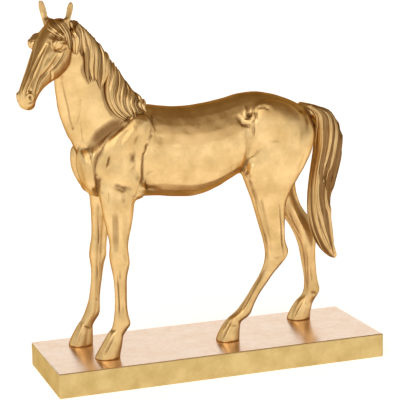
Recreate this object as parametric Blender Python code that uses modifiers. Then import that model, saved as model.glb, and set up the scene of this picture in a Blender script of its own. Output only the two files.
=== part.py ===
"""A gilded resin horse statue: one cast horse standing on its own rectangular plinth.

Metres, +Z up. The origin is the centre of the plinth's underside, the horse faces -X, and its left side is at -Y.
The figure's tables are in steps of its own height, 304 steps from sole to ear tip, so one step is 1 mm at the real size.
"""

import math

import bmesh
import bpy
import numpy as np
from mathutils import Matrix, Vector
from mathutils.bvhtree import BVHTree

# Driving dimensions, in metres
PLINTH_LENGTH = 0.300
PLINTH_WIDTH = 0.100
PLINTH_HEIGHT = 0.0215
PLINTH_EDGE = 0.0010
HORSE_HEIGHT = 0.304
HORSE_ALONG = 0.0
HORSE_ACROSS = 0.003
SEAT_GAP = 0.0003

# How finely the clay is worked, in the figure's steps
STEPS_TALL = 304
CLAY_VOXEL = 1.2
CAST_VOXEL = 1.0
RING_SPACING = 3.0
RING_SIDES = 28
HORSE_TRIANGLES = 9300
RELIEF_SPARED = 0.08

LEFT, RIGHT = -1, 1

# How much wider the barrel is below its middle than above
TRUNK_SAG = 0.16

# A row of a limb: front x, z; back x, z; centre y; half width; squareness, where 2 is an ellipse
TRUNK = [
    (-114, 176, -113, 152, 0, 8, 2.05),
    (-109, 190, -110, 144, 0, 19, 2.05),
    (-98, 203, -100, 137.5, 0, 25, 2.05),
    (-84, 210, -84, 134.5, 0, 26.5, 2.05),
    (-66, 214, -66, 134, 0, 27, 2.05),
    (-48, 213, -48, 133.6, 0, 28.5, 2.05),
    (-30, 210.5, -30, 131.5, 0, 31, 2.05),
    (-12, 210.5, -12, 131, 0, 32.5, 2.05),
    (5, 212.3, 5, 135.5, 0, 32.5, 2.05),
    (20, 215, 20, 143, 0, 31, 2.05),
    (33, 218, 33, 149, 0, 29.5, 2.05),
    (45, 219, 45, 150, 0, 29.5, 2.05),
    (60, 217, 60, 148, 0, 30, 2.05),
    (75, 212.5, 75, 150, 0, 28, 2.05),
    (88, 206.5, 88, 158, 0, 23, 2.05),
    (98, 199, 97, 168, 0, 15, 2.05),
    (103, 190, 102, 178, 0, 6, 2.0),
]
FORELEG_LEFT = [
    (-104, 158, -66, 150, -16, 11, 2.2),
    (-102, 143, -68, 141, -20, 11.5, 2.2),
    (-100.5, 133, -71.5, 133, -22, 11, 2.2),
    (-99, 123, -73.3, 123, -23, 10, 2.2),
    (-97, 113, -75.2, 113, -23, 8.8, 2.2),
    (-95, 103, -77.6, 103, -23, 7.6, 2.2),
    (-94.2, 96, -78.6, 96, -23, 7.2, 2.3),
    (-94.8, 90, -78.2, 89, -23, 7.8, 2.5),
    (-94.4, 84, -77.6, 82, -23, 7.9, 2.5),
    (-93.2, 77, -78.8, 76, -23, 7.0, 2.4),
    (-92, 70, -80, 70, -23, 5.8, 2.2),
    (-91.3, 60, -80.4, 60, -23, 5.0, 2.2),
    (-91.2, 50, -80.6, 50, -23, 4.8, 2.2),
    (-91.6, 40, -80.4, 40, -23, 5.2, 2.2),
    (-92.3, 34, -79.2, 33, -23, 6.3, 2.2),
    (-93, 29.5, -78, 27.5, -23, 6.8, 2.2),
    (-94.2, 25.5, -81, 23.5, -23, 6.2, 2.2),
    (-96.5, 22, -85, 18, -23, 6.0, 2.2),
    (-101, 14, -87, 10, -23, 6.0, 2.2),
]
FOREHOOF_LEFT = [
    (-96.8, 22.3, -85.2, 17, -23, 6.6, 2.2),
    (-102.5, 13, -86.6, 9, -23, 8.0, 2.3),
    (-108, 4, -88, 3.5, -23, 9.2, 2.3),
    (-110.5, 0, -88.3, 0, -23, 9.6, 2.3),
]
FORELEG_RIGHT = [
    (-104, 158, -66, 150, 16, 11, 2.2),
    (-100, 143, -67, 141, 20, 11.5, 2.2),
    (-98.5, 133, -70, 133, 22, 11, 2.2),
    (-97.5, 123, -74, 123, 23, 10, 2.2),
    (-97.2, 113, -79, 113, 23, 8.8, 2.2),
    (-97.2, 103, -82, 103, 23, 7.6, 2.2),
    (-97.8, 94, -84, 94, 23, 7.2, 2.3),
    (-99, 88, -85, 87, 23, 7.8, 2.5),
    (-100, 80, -85.3, 79, 23, 7.9, 2.5),
    (-99.4, 73, -87.3, 73, 23, 7.0, 2.4),
    (-98.9, 67, -88.2, 67, 23, 5.8, 2.2),
    (-99.3, 58, -89.6, 58, 23, 5.0, 2.2),
    (-100.5, 48, -91.2, 48, 23, 4.8, 2.2),
    (-102.4, 38, -92.2, 38, 23, 5.2, 2.2),
    (-104.4, 32, -92.2, 32, 23, 6.3, 2.2),
    (-106.2, 27.5, -93.0, 26.5, 23, 6.8, 2.2),
    (-108.2, 23.5, -96.5, 21.5, 23, 6.2, 2.2),
    (-111, 19, -99.5, 16.5, 23, 6.0, 2.2),
    (-115.5, 11, -101, 9, 23, 6.0, 2.2),
]
FOREHOOF_RIGHT = [
    (-111.2, 19.5, -99.5, 15.5, 23, 6.6, 2.2),
    (-116, 12, -99.6, 9, 23, 8.0, 2.3),
    (-120.3, 3.5, -99.8, 3.5, 23, 9.2, 2.3),
    (-121.8, 0, -99.8, 0, 23, 9.6, 2.3),
]
HINDLEG_LEFT = [
    (34, 185, 92, 200, -13, 12, 2.2),
    (30, 172, 97, 186, -16, 15.5, 2.3),
    (28, 158, 95, 170, -18, 16.5, 2.3),
    (29.5, 146, 89, 156, -18.5, 16, 2.3),
    (33.5, 136, 81, 143, -18.5, 14.5, 2.2),
    (37.5, 126, 74, 131, -17.5, 12.5, 2.2),
    (40.8, 116, 70, 120, -16.5, 11, 2.2),
    (43.8, 106, 69.6, 110, -16, 9.6, 2.2),
    (46.8, 96, 69.4, 99, -15.5, 8.4, 2.2),
    (49.4, 87, 69.8, 88, -15.2, 7.5, 2.2),
    (50.9, 80, 71.3, 81.5, -15, 7.2, 2.3),
    (51.6, 74, 73, 77, -15, 7.5, 2.4),
    (50.8, 67, 71.5, 71.5, -15, 7.6, 2.4),
    (48.6, 61, 66.5, 65.5, -15, 6.7, 2.3),
    (44.5, 53.5, 59, 57.5, -15, 5.7, 2.2),
    (39.5, 46.5, 52.5, 49, -15, 5.1, 2.2),
    (34.5, 39, 46.5, 41.5, -15, 4.9, 2.2),
    (29.5, 32, 41.5, 33.5, -15, 5.2, 2.2),
    (25, 26.5, 38.2, 27, -15, 6.0, 2.2),
    (21.5, 23.2, 36.2, 22.3, -15, 6.6, 2.2),
    (18, 21, 31.5, 18.3, -15, 6.2, 2.2),
    (14.8, 18.8, 27.5, 16.2, -15, 6.0, 2.2),
    (10, 12, 25.5, 9, -15, 6.0, 2.2),
]
HINDHOOF_LEFT = [
    (13.6, 17.6, 26.2, 14, -15, 6.6, 2.2),
    (9.2, 11.5, 25.3, 8, -15, 7.8, 2.3),
    (5, 3.6, 25, 3, -15, 9.0, 2.3),
    (3.7, 0, 25, 0, -15, 9.4, 2.3),
]
HINDLEG_RIGHT = [
    (38, 185, 92, 200, 13, 12, 2.2),
    (38, 172, 97, 186, 16, 15.5, 2.3),
    (41, 157, 98, 170, 19, 16.5, 2.3),
    (47, 143, 97, 154, 20.5, 15.5, 2.3),
    (56, 130, 96, 140, 22, 13.5, 2.2),
    (67, 118, 96.5, 127, 23, 11.5, 2.2),
    (78, 107, 99, 116, 23, 9.6, 2.2),
    (86.5, 97, 103.5, 106, 23, 8.2, 2.2),
    (93.2, 87, 110, 97, 23, 7.4, 2.3),
    (98, 77, 116.3, 87.5, 23, 7.3, 2.4),
    (101, 68.5, 117.3, 77, 23, 7.4, 2.4),
    (102.6, 60, 116.8, 65, 23, 6.6, 2.3),
    (104.3, 50, 117.4, 52, 23, 5.6, 2.2),
    (106, 40, 118.4, 41, 23, 5.1, 2.2),
    (106.5, 32, 120, 32, 23, 5.6, 2.2),
    (106, 26, 121.3, 26, 23, 6.5, 2.2),
    (104.3, 22, 119.5, 21.5, 23, 6.3, 2.2),
    (101.8, 19.3, 116, 17, 23, 6.0, 2.2),
    (98.5, 17, 113.7, 12.5, 23, 6.2, 2.2),
    (95, 11, 112, 8, 23, 6.2, 2.2),
]
HINDHOOF_RIGHT = [
    (98.5, 17, 113.4, 11.5, 23, 6.8, 2.2),
    (94, 10.5, 111.8, 7, 23, 7.9, 2.3),
    (90.2, 3.4, 111.2, 3, 23, 9.0, 2.3),
    (88.8, 0, 111.2, 0, 23, 9.4, 2.3),
]
TAIL = [
    (90, 200, 92, 208, 0, 5, 2.0),
    (97, 196, 100, 206.5, 0, 6, 2.0),
    (103, 190, 110, 204, 0, 7.5, 2.0),
    (106, 181, 121, 198.5, 0, 8.5, 2.0),
    (106, 170, 130, 188, 0, 9.5, 2.0),
    (105.5, 160, 134, 175, 0, 10, 2.0),
    (104, 150, 134, 162, 0, 10, 2.0),
    (102.5, 140, 131.5, 148, 0, 10, 2.0),
    (101, 130, 128, 134, 0, 9.5, 2.0),
    (100, 120, 124, 122, 0, 9.2, 2.0),
    (99.8, 110, 122.5, 110, 0, 9, 2.0),
    (100, 98, 123.5, 100, 0, 9, 2.0),
    (102.5, 87, 125, 91, 0, 8.5, 2.0),
    (106.5, 77.5, 126, 82, 0, 7.5, 2.0),
    (112, 69.5, 127, 74, 0, 6, 2.0),
    (119, 63, 128.5, 68, 0, 4, 2.0),
    (125.5, 59.5, 129.5, 63, 0, 2, 2.0),
]
# The neck's rows also turn to the horse's left, in degrees
NECK = [
    (-104, 152, -48, 206, 0, 22, 2.2, 0),
    (-113, 170, -54, 213, 0, 21, 2.2, 2),
    (-120, 185, -61, 222.5, -0.5, 18, 2.2, 5),
    (-126.3, 199, -70, 233.5, -1.5, 15.5, 2.2, 9),
    (-131, 212, -79, 247, -3, 13.5, 2.2, 13),
    (-133.5, 225, -87.5, 259.5, -5, 12.3, 2.2, 17),
    (-134.5, 238, -96.5, 272, -7, 12, 2.2, 21),
    (-133, 251, -106, 282, -9, 12, 2.2, 25),
    (-130, 264, -115.5, 288, -11, 11, 2.2, 29),
]

# The head, laid out along its own axis from poll to lips: along, forehead side, jaw side, half width, squareness
HEAD_POLL = (-131, -14, 285.5)
HEAD_TURN = 45
HEAD_DROP = 46
HEAD = [
    (-7, 0, -12, 6, 2.2),
    (-1, 5, -18, 9, 2.2),
    (6, 7.5, -22, 11.5, 2.3),
    (13, 8.8, -25.5, 13.2, 2.4),
    (20, 9.2, -28, 13.5, 2.4),
    (28, 8.8, -27.5, 12, 2.4),
    (36, 7.9, -25.5, 10.2, 2.4),
    (44, 7.0, -20.5, 8.7, 2.4),
    (52, 6.2, -16.3, 7.5, 2.4),
    (60, 5.6, -13.4, 6.8, 2.4),
    (68, 5.0, -12.4, 6.8, 2.3),
    (74, 4.2, -12.6, 7.0, 2.2),
    (79, 1.8, -12.2, 6.4, 2.2),
    (82.5, -2, -9.4, 3.6, 2.0),
]

# Where the figure was sighted from when its lines were taken, in its own steps
STATION = (-407, -1120, 365)

def spline_rows(rows, spacing):
    """Rows read along a smooth curve through them, a row about every spacing along their middle line."""
    table = np.array(rows, float)
    middle = 0.5 * (table[:, 0:2] + table[:, 2:4]) if table.shape[1] > 5 else table[:, 0:1]
    steps = np.linalg.norm(np.diff(middle, axis=0), axis=1)
    at = np.concatenate([[0], np.cumsum(np.maximum(steps, 1e-6))])
    slope = np.gradient(table, at, axis=0)
    count = max(int(at[-1] / spacing), len(rows)) + 1
    wanted = np.linspace(0, at[-1], count)
    span = np.clip(np.searchsorted(at, wanted, side="right") - 1, 0, len(rows) - 2)
    width = (at[span + 1] - at[span])[:, None]
    t = (wanted - at[span])[:, None] / width
    start, end = table[span], table[span + 1]
    return (
        (2 * t**3 - 3 * t**2 + 1) * start
        + (t**3 - 2 * t**2 + t) * width * slope[span]
        + (3 * t**2 - 2 * t**3) * end
        + (t**3 - t**2) * width * slope[span + 1]
    )


def rounded_ring(squareness):
    """A closed ring as two arrays: the share towards the front, and the share to the side."""
    angle = np.linspace(0, 2 * math.pi, RING_SIDES, endpoint=False)
    front, side = np.cos(angle), np.sin(angle)
    power = 2.0 / squareness
    return np.sign(front) * np.abs(front) ** power, np.sign(side) * np.abs(side) ** power


def limb_rings(rows, sag=0.0):
    """Rings of a limb: each lies across it through its front and back points, and may turn about Z.

    The sag widens a ring at its back point and narrows it at its front one, by that share."""
    rings = []
    for row in spline_rows(rows, RING_SPACING):
        front_x, front_z, back_x, back_z, across, half_width, squareness = row[:7]
        turn = math.radians(row[7]) if len(row) > 7 else 0.0
        centre = np.array([0.5 * (front_x + back_x), across, 0.5 * (front_z + back_z)])
        reach_x = 0.5 * (front_x - back_x)
        reach = np.array([reach_x * math.cos(turn), reach_x * math.sin(turn), 0.5 * (front_z - back_z)])
        sideways = np.array([-math.sin(turn), math.cos(turn), 0.0]) * half_width
        front, side = rounded_ring(squareness)
        rings.append(centre + np.outer(front, reach) + np.outer(side * (1 - sag * front), sideways))
    return rings


def head_axes():
    """The head's own directions: along it, out of its forehead, and to its left."""
    turn, drop = math.radians(HEAD_TURN), math.radians(HEAD_DROP)
    ahead = np.array([-math.cos(turn), -math.sin(turn), 0.0])
    up = np.array([0.0, 0.0, 1.0])
    along = math.sin(drop) * ahead - math.cos(drop) * up
    out = math.cos(drop) * ahead + math.sin(drop) * up
    return along, out, np.array([math.sin(turn), -math.cos(turn), 0.0])


def on_head(along, out, side):
    """A point given in the head's own directions, its side counted to the right, in the figure's frame."""
    axes = head_axes()
    return np.array(HEAD_POLL, float) + along * axes[0] + out * axes[1] - side * axes[2]


def head_rings():
    rings = []
    for along, top, bottom, half_width, squareness in spline_rows(HEAD, RING_SPACING):
        front, side = rounded_ring(squareness)
        middle, reach = 0.5 * (top + bottom), 0.5 * (top - bottom)
        _, out, left = head_axes()
        rings.append(on_head(along, middle, 0) + np.outer(front * reach, out) + np.outer(side * half_width, left))
    return rings


def add_loft(clay, rings):
    """A closed skin over the rings, with a flat cap at each end."""
    made = [[clay.verts.new(point) for point in ring] for ring in rings]
    for one, two in zip(made, made[1:]):
        for i in range(len(one)):
            j = (i + 1) % len(one)
            clay.faces.new((one[i], one[j], two[j], two[i]))
    clay.faces.new(made[0][::-1])
    clay.faces.new(made[-1])


def add_ball(clay, centre, radii, axes=None):
    """An ellipsoid of clay: its radii lie along the three axes, or along X, Y and Z."""
    columns = np.eye(3) if axes is None else np.array(axes)
    turn = Matrix([list(columns[:, row]) for row in range(3)]).to_4x4()
    shape = Matrix.Translation(Vector(centre)) @ turn @ Matrix.Diagonal((*radii, 1.0))
    bmesh.ops.create_icosphere(clay, subdivisions=3, radius=1.0, matrix=shape)


def tilted_axes(tilt):
    """Long, deep and thick directions of a flat muscle: the long one leans forward from upright by tilt degrees."""
    lean = math.radians(tilt)
    long = np.array([-math.sin(lean), 0.0, math.cos(lean)])
    deep = np.array([math.cos(lean), 0.0, math.sin(lean)])
    return np.array([long, deep, [0.0, 1.0, 0.0]])


# Muscles on both sides of the trunk: x, z, y out from the middle, half length, half depth, half thickness, tilt
MUSCLES = [
    (-79, 181, 18, 33, 16, 10.5, -43),
    (-82, 156, 20, 22, 14, 10.5, 55),
    (-108, 162, 11, 20, 9, 12, 15),
    (-72, 148, 21, 14, 11, 9, 30),
    (62, 185, 17, 34, 26, 15, 60),
]


def add_muscles(clay):
    for x, z, out, half_long, half_deep, half_thick, tilt in MUSCLES:
        for side in (LEFT, RIGHT):
            add_ball(clay, (x, side * out, z), (half_long, half_deep, half_thick), tilted_axes(tilt))


def add_head_forms(clay):
    axes = head_axes()
    for side in (LEFT, RIGHT):
        add_ball(clay, on_head(21, 4.5, side * 11.2), (8, 4.6, 5.2), axes)
        add_ball(clay, on_head(24.2, -0.6, side * 12.2), (3.7, 3.0, 3.0), axes)
        add_ball(clay, on_head(19, -13.5, side * 7.2), (14.5, 13.5, 5.6), axes)
        add_ball(clay, on_head(75.0, 0.0, side * 4.2), (4.8, 3.2, 2.7), axes)
        add_ball(clay, on_head(-1, -1, side * 8.2), (5, 5.5, 4.5), axes)
    add_ball(clay, on_head(75.5, -11.2, 0), (5.5, 3.6, 5), axes)


EAR_RIGHT = dict(root=(-0.5, 0.5, 10.4), tip=(-15.3, 13.8, 16.2), half_width=3.6)
EAR_LEFT = dict(root=(-0.5, 0.5, -9.0), tip=(-13.9, 12.4, -13.6), half_width=3.7)


def add_ear(clay, root, tip, half_width):
    """A leaf-shaped ear, widest above its middle and rounded at its tip."""
    start, end = on_head(*root), on_head(*tip)
    up = end - start
    length = np.linalg.norm(up)
    up = up / length
    across = np.cross(up, head_axes()[1])
    across = across / np.linalg.norm(across)
    deep = np.cross(across, up)
    rings = []
    angle = np.linspace(0, 2 * math.pi, RING_SIDES, endpoint=False)
    for share in np.linspace(0, 1, 13):
        wide = half_width * ((0.72 + 0.5 * share) * math.sqrt(1 - share**2.8) + 0.07)
        thick = 0.62 * wide
        ring = start + up * length * share
        rings.append(ring + np.outer(np.cos(angle) * wide, across) + np.outer(np.sin(angle) * thick, deep))
    add_loft(clay, rings)


def new_mesh(clay, name):
    bmesh.ops.recalc_face_normals(clay, faces=clay.faces)
    mesh = bpy.data.meshes.new(name)
    clay.to_mesh(mesh)
    clay.free()
    return mesh


def model_body():
    """Every mass of the horse but its hair, still overlapping."""
    clay = bmesh.new()
    add_loft(clay, limb_rings(TRUNK, TRUNK_SAG))
    for rows in (
        NECK,
        FORELEG_LEFT, FOREHOOF_LEFT, FORELEG_RIGHT, FOREHOOF_RIGHT,
        HINDLEG_LEFT, HINDHOOF_LEFT, HINDLEG_RIGHT, HINDHOOF_RIGHT,
    ):
        add_loft(clay, limb_rings(rows))
    add_loft(clay, head_rings())
    add_muscles(clay)
    add_head_forms(clay)
    add_ear(clay, **EAR_LEFT)
    add_ear(clay, **EAR_RIGHT)
    return new_mesh(clay, "horse_clay")


# Guide locks of the mane on the left side, as sighted: root x, z; middle x, z; tip x, z
MANE_GUIDES = [
    (-121, 287, -119, 272, -116, 260),
    (-115, 287, -112, 272, -112, 258),
    (-109, 284, -106, 262, -109, 246),
    (-103, 277, -101, 256, -103, 236),
    (-97, 270, -97, 252, -97, 236),
    (-91, 263, -92, 247, -93, 230),
    (-86, 256, -89, 238, -87, 222),
    (-82, 249, -88, 224, -79, 206),
    (-76, 240, -83, 218, -70, 201.5),
    (-70, 232, -75, 216, -66, 203),
    (-63, 225, -68, 212, -61, 202),
    (-57, 220, -62, 210, -57, 206),
    (-51, 215, -56, 209, -52, 207),
]
MANE_LOCKS = 20
MANE_LOCK_WIDTH = 3.9
FAR_MANE_LOCKS = 24

# Locks of the forelock, on the head: along, out, left, for root, middle and tip
FORELOCK = [
    ((-3, 5, 3), (8, 9.5, 0), (21, 9.5, -12)),
    ((-3, 5, 1), (6, 9.5, -4), (17, 8, -14)),
    ((-1, 5, 5), (8, 10, 3), (21, 10, -6)),
    ((-2, 5, -1), (3, 8.5, -6), (11, 5.5, -13.5)),
    ((0, 5, 6), (8, 9.5, 6), (15, 9.5, 5)),
    ((-4, 5, 0), (3, 9, 0), (15, 10, -3)),
]

TAIL_STRANDS = 11
TAIL_TWIST = 1.5


def add_lock(clay, points, normals, half_width):
    """A tapered lock of hair along a path: a lens across it, lying in the surface below."""
    points, normals = np.array(points), np.array(normals)
    tangents = np.gradient(points, axis=0)
    tangents /= np.linalg.norm(tangents, axis=1)[:, None]
    across = np.cross(tangents, normals)
    across /= np.linalg.norm(across, axis=1)[:, None]
    away = np.cross(across, tangents)
    shares = np.linspace(0, 1, len(points))
    angle = np.linspace(0, 2 * math.pi, 12, endpoint=False)
    rings = []
    for i, share in enumerate(shares):
        wide = half_width * (0.55 + 1.5 * share - 1.95 * share**2) + 0.25
        ring = points[i] + away[i] * 0.3 * wide
        rings.append(ring + np.outer(np.cos(angle) * wide, across[i]) + np.outer(np.sin(angle) * 0.7 * wide, away[i]))
    add_loft(clay, rings)


def through(start, middle, end, shares):
    """Points on the parabola that passes through three points."""
    a, b, c = (np.array(point, float) for point in (start, middle, end))
    t = shares[:, None]
    return a * (1 - t) * (1 - 2 * t) + 4 * b * t * (1 - t) + c * t * (2 * t - 1)


def sight(tree, x, z, side):
    """The first point of the body seen through x, z on the middle plane, from the station on that side."""
    station = Vector((STATION[0], STATION[1] * -side, STATION[2]))
    aim = Vector((x, 0, z)) - station
    point, normal, _, _ = tree.ray_cast(station, aim)
    if point is None:
        point, normal, _, _ = tree.find_nearest(Vector((x, 9 * side, z)))
    return np.array(point), np.array(normal)


def guide_row(guides, place):
    """A guide row between two of the guides: place runs from 0 at the first to 1 at the last."""
    table = np.array(guides, float)
    at = place * (len(table) - 1)
    return np.array([np.interp(at, range(len(table)), column) for column in table.T])


def lay_locks(clay, tree, count, side, length, half_width, phase):
    shares = np.linspace(0, 1, 14)
    for i in range(count):
        root_x, root_z, middle_x, middle_z, tip_x, tip_z = guide_row(MANE_GUIDES, (i + phase) / count)
        reach = length * (0.86 + 0.14 * math.cos(2.4 * i + phase))
        line = through((root_x, root_z), (middle_x, middle_z), (tip_x, tip_z), shares * reach)
        line[:, 0] += 0.9 * np.sin(5.5 * shares + 1.9 * i) * shares
        found = [sight(tree, x, z, side) for x, z in line]
        wide = half_width * (1 + 0.22 * math.sin(1.7 * i))
        add_lock(clay, [point for point, _ in found], [normal for _, normal in found], wide)


def lay_forelock(clay, tree):
    shares = np.linspace(0, 1, 12)
    for root, middle, tip in FORELOCK:
        line = through(on_head(*root), on_head(*middle), on_head(*tip), shares)
        found = [tree.find_nearest(Vector(point))[:2] for point in line]
        add_lock(clay, [np.array(point) for point, _ in found], [np.array(normal) for _, normal in found], 2.5)


def add_tail(clay):
    """Strands laid round the tail's core and twisted about it, each a round rod in the tail's own oval."""
    rows = spline_rows(TAIL, 2.0)
    add_loft(clay, limb_rings([row * np.array([1, 1, 1, 1, 1, 0.6, 1]) for row in TAIL]))
    angle = np.linspace(0, 2 * math.pi, 12, endpoint=False)
    for strand in range(TAIL_STRANDS):
        ends = len(rows) - int(3.5 + 3.5 * math.sin(2.1 * strand))
        rings = []
        for i, row in enumerate(rows[:ends]):
            share = i / (ends - 1)
            turn = 2 * math.pi * strand / TAIL_STRANDS + TAIL_TWIST * share + 0.25 * math.sin(6 * share + strand)
            out = 0.66 + 0.05 * math.sin(3 * strand + 7 * share)
            thick = (0.36 + 0.07 * math.sin(2.7 * strand)) * min(1.0, 3.2 * (1 - share) + 0.12)
            front = out * math.cos(turn) + thick * np.cos(angle)
            aside = out * math.sin(turn) + thick * np.sin(angle)
            centre = np.array([0.5 * (row[0] + row[2]), row[4], 0.5 * (row[1] + row[3])])
            reach = np.array([0.5 * (row[0] - row[2]), 0.0, 0.5 * (row[1] - row[3])])
            rings.append(centre + np.outer(front, reach) + np.outer(aside, np.array([0, row[5], 0])))
        add_loft(clay, rings)


def model_hair(body):
    """The body with its mane, forelock and tail laid on, still overlapping."""
    clay = bmesh.new()
    clay.from_mesh(body)
    tree = BVHTree.FromBMesh(clay)
    hair = bmesh.new()
    lay_locks(hair, tree, MANE_LOCKS, LEFT, 0.93, 1.15 * MANE_LOCK_WIDTH, 0.1)
    lay_locks(hair, tree, MANE_LOCKS, LEFT, 1.0, MANE_LOCK_WIDTH, 0.6)
    lay_locks(hair, tree, FAR_MANE_LOCKS, RIGHT, 0.42, 0.75 * MANE_LOCK_WIDTH, 0.3)
    lay_forelock(hair, tree)
    add_tail(hair)
    bmesh.ops.recalc_face_normals(hair, faces=hair.faces)
    mesh = bpy.data.meshes.new("hair")
    hair.to_mesh(mesh)
    hair.free()
    clay.from_mesh(mesh)
    bpy.data.meshes.remove(mesh)
    made = bpy.data.meshes.new("horse_cast")
    clay.to_mesh(made)
    clay.free()
    return made


# Cuts and ridges, each: half width, height out of the surface, then x, z along its line.
# On the trunk the lines are as sighted on the middle plane, and both sides have them.
TRUNK_STROKES = [
    (11, -4.0, (-70, 205), (-88, 195), (-99, 186), (-103, 174), (-103, 160)),
    (7, 2.0, (-64, 199), (-80, 187), (-91, 178), (-94, 166)),
    (6, 1.2, (-62, 194), (-72, 180), (-80, 166)),
    (4, -1.4, (-74, 189), (-79, 179)),
    (4, -1.2, (-62, 190), (-66, 180)),
    (4, -1.6, (-83, 172), (-88, 162)),
    (8, 1.2, (-90, 178), (-95, 165), (-94, 152)),
    (4.5, -2.6, (-52, 186), (-57, 170), (-59, 158), (-60, 147)),
    (8, 1.2, (-67, 172), (-69, 156)),
    (3.5, -1.6, (-58, 146), (-46, 140)),
    (3, 1.0, (-56, 141), (-44, 136)),
    (12, -1.8, (-44, 188), (-36, 178)),
    (6, 1.2, (-49, 196), (-51, 183)),
    (7, -0.8, (-86, 150), (-84, 138)),
    (4.5, 3.4, (40, 203), (44, 199), (42, 194)),
    (3, 1.6, (41, 188), (42, 184)),
    (2.5, -1.4, (47, 205), (48, 198), (46, 192)),
    (5, -2.2, (47, 196), (46, 183), (43, 172), (41, 160), (37, 151)),
    (9, 1.6, (41, 157), (46, 146)),
    (5, -1.6, (92, 192), (91, 170), (86, 150), (74, 130)),
    (8, -0.9, (63, 176), (60, 152), (57, 132)),
    (10, -1.0, (18, 200), (30, 190), (34, 175)),
    (6, -0.6, (-16, 180), (-20, 160), (-16, 146)),
    (6, -0.6, (-1, 183), (-5, 163), (0, 150)),
    (6, -0.6, (13, 182), (10, 168), (14, 158)),
]
NECK_STROKES = [
    (5, -1.1, (-126, 238), (-124, 226), (-122, 213), (-119, 199), (-112, 184)),
    (6, -0.9, (-111, 232), (-111, 212), (-112, 192), (-110, 178)),
    (7, 0.9, (-117, 225), (-116, 205), (-113, 190)),
]
BREAST_STROKES = [
    (7, -1.8, (0, 184), (0, 165), (0, 144)),
    (6, -1.2, (14, 178), (16, 160), (13, 146)),
    (6, -1.2, (-14, 178), (-16, 160), (-13, 146)),
]
FORELEG_STROKES = [
    (5, -1.3, (-3, 52), (-1, 35), (0, 20)),
    (3.6, 0.7, (2, 8), (1, 3)),
    (2.4, -0.7, (-7, 2), (6, 1)),
    (3.2, 0.6, (3, -4), (3, -8)),
    (2.4, -1.0, (3.4, -16), (3.6, -30), (3.8, -46)),
    (2.0, -0.6, (-1.6, -18), (-1.4, -44)),
    (2.4, 0.8, (7, -54), (6, -58)),
]
HINDLEG_STROKES = [
    (4.2, -1.6, (4, 42), (7, 26), (8, 10)),
    (4, -1.0, (0, -3), (2, -5)),
    (3, 0.9, (10, 4), (9, 0)),
    (2.4, -1.0, (2, -12), (-10, -28), (-20, -42)),
]
# On the head: along and out
HEAD_STROKES = [
    (3.5, 1.3, (30, 9.5), (26, 9.5), (19, 7)),
    (1.9, -1.3, (31, 5), (26, 5.4), (19, 3.2), (16, 0)),
    (1.5, 1.0, (29.6, 1.2), (26, 3.0), (21.5, 2.0), (18.4, -1)),
    (1.4, 0.8, (29.6, 0.2), (26, -3.4), (21, -4.2), (18, -2)),
    (2.0, -0.9, (31, -2.5), (26, -6), (20, -6.5)),
    (4, -1.0, (12, 4), (9, 1)),
    (2.6, 1.3, (27, -8), (35, -5), (46, -3.2)),
    (4, -1.4, (33, -10.5), (46, -7.5), (58, -5)),
    (3, -0.9, (34, 0), (46, 0.2), (60, 0.4)),
    (2.5, -0.9, (40, 4.8), (52, 3.8), (66, 3.2)),
    (3, 0.9, (14, -17), (20, -22.5), (29, -24), (37, -20)),
    (3.5, -0.9, (14, -12), (20, -16), (28, -18)),
    (2.0, -2.8, (77.2, 1.0), (75, 3.0)),
    (1.6, 1.1, (79.8, 0.2), (80, 3.2), (77, 5.4), (73, 5.0)),
    (1.6, -1.4, (82.5, -5.8), (77, -6.2), (71.5, -5)),
    (3, -0.8, (66, -4), (70, -1)),
]


def nearness(flat, line, half_width):
    """1 on the line, falling smoothly to 0 at the half width."""
    nearest = np.full(len(flat), 1e9)
    for start, end in zip(line, line[1:]):
        start, run = np.array(start, float), np.array(end, float) - np.array(start, float)
        share = np.clip((flat - start) @ run / (run @ run), 0, 1)
        nearest = np.minimum(nearest, np.linalg.norm(flat - start - share[:, None] * run, axis=1))
    return np.clip(1 - (nearest / half_width) ** 2, 0, 1) ** 2


def ramp(value, low, high):
    share = np.clip((value - low) / (high - low), 0, 1)
    return share * share * (3 - 2 * share)


def sighted(points):
    """Where each point of either side is seen on the middle plane from that side's station."""
    eye = np.array(STATION, float)
    mirrored = points * np.array([1, 1, 1])
    mirrored[:, 1] = -np.abs(points[:, 1])
    share = eye[1] / (eye[1] - mirrored[:, 1])
    return np.stack([eye[0] + (mirrored[:, 0] - eye[0]) * share, eye[2] + (mirrored[:, 2] - eye[2]) * share], 1)


def add_strokes(lift, flat, mask, strokes, shift=(0, 0), scale=1.0):
    for half_width, height, *line in strokes:
        moved = [(x + shift[0], z + shift[1]) for x, z in line]
        lift += scale * height * nearness(flat, moved, half_width) * mask


def normals_of(mesh):
    normals = np.empty(len(mesh.vertices) * 3, np.float32)
    mesh.vertices.foreach_get("normal", normals)
    return normals.reshape(-1, 3).astype(float)


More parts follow.
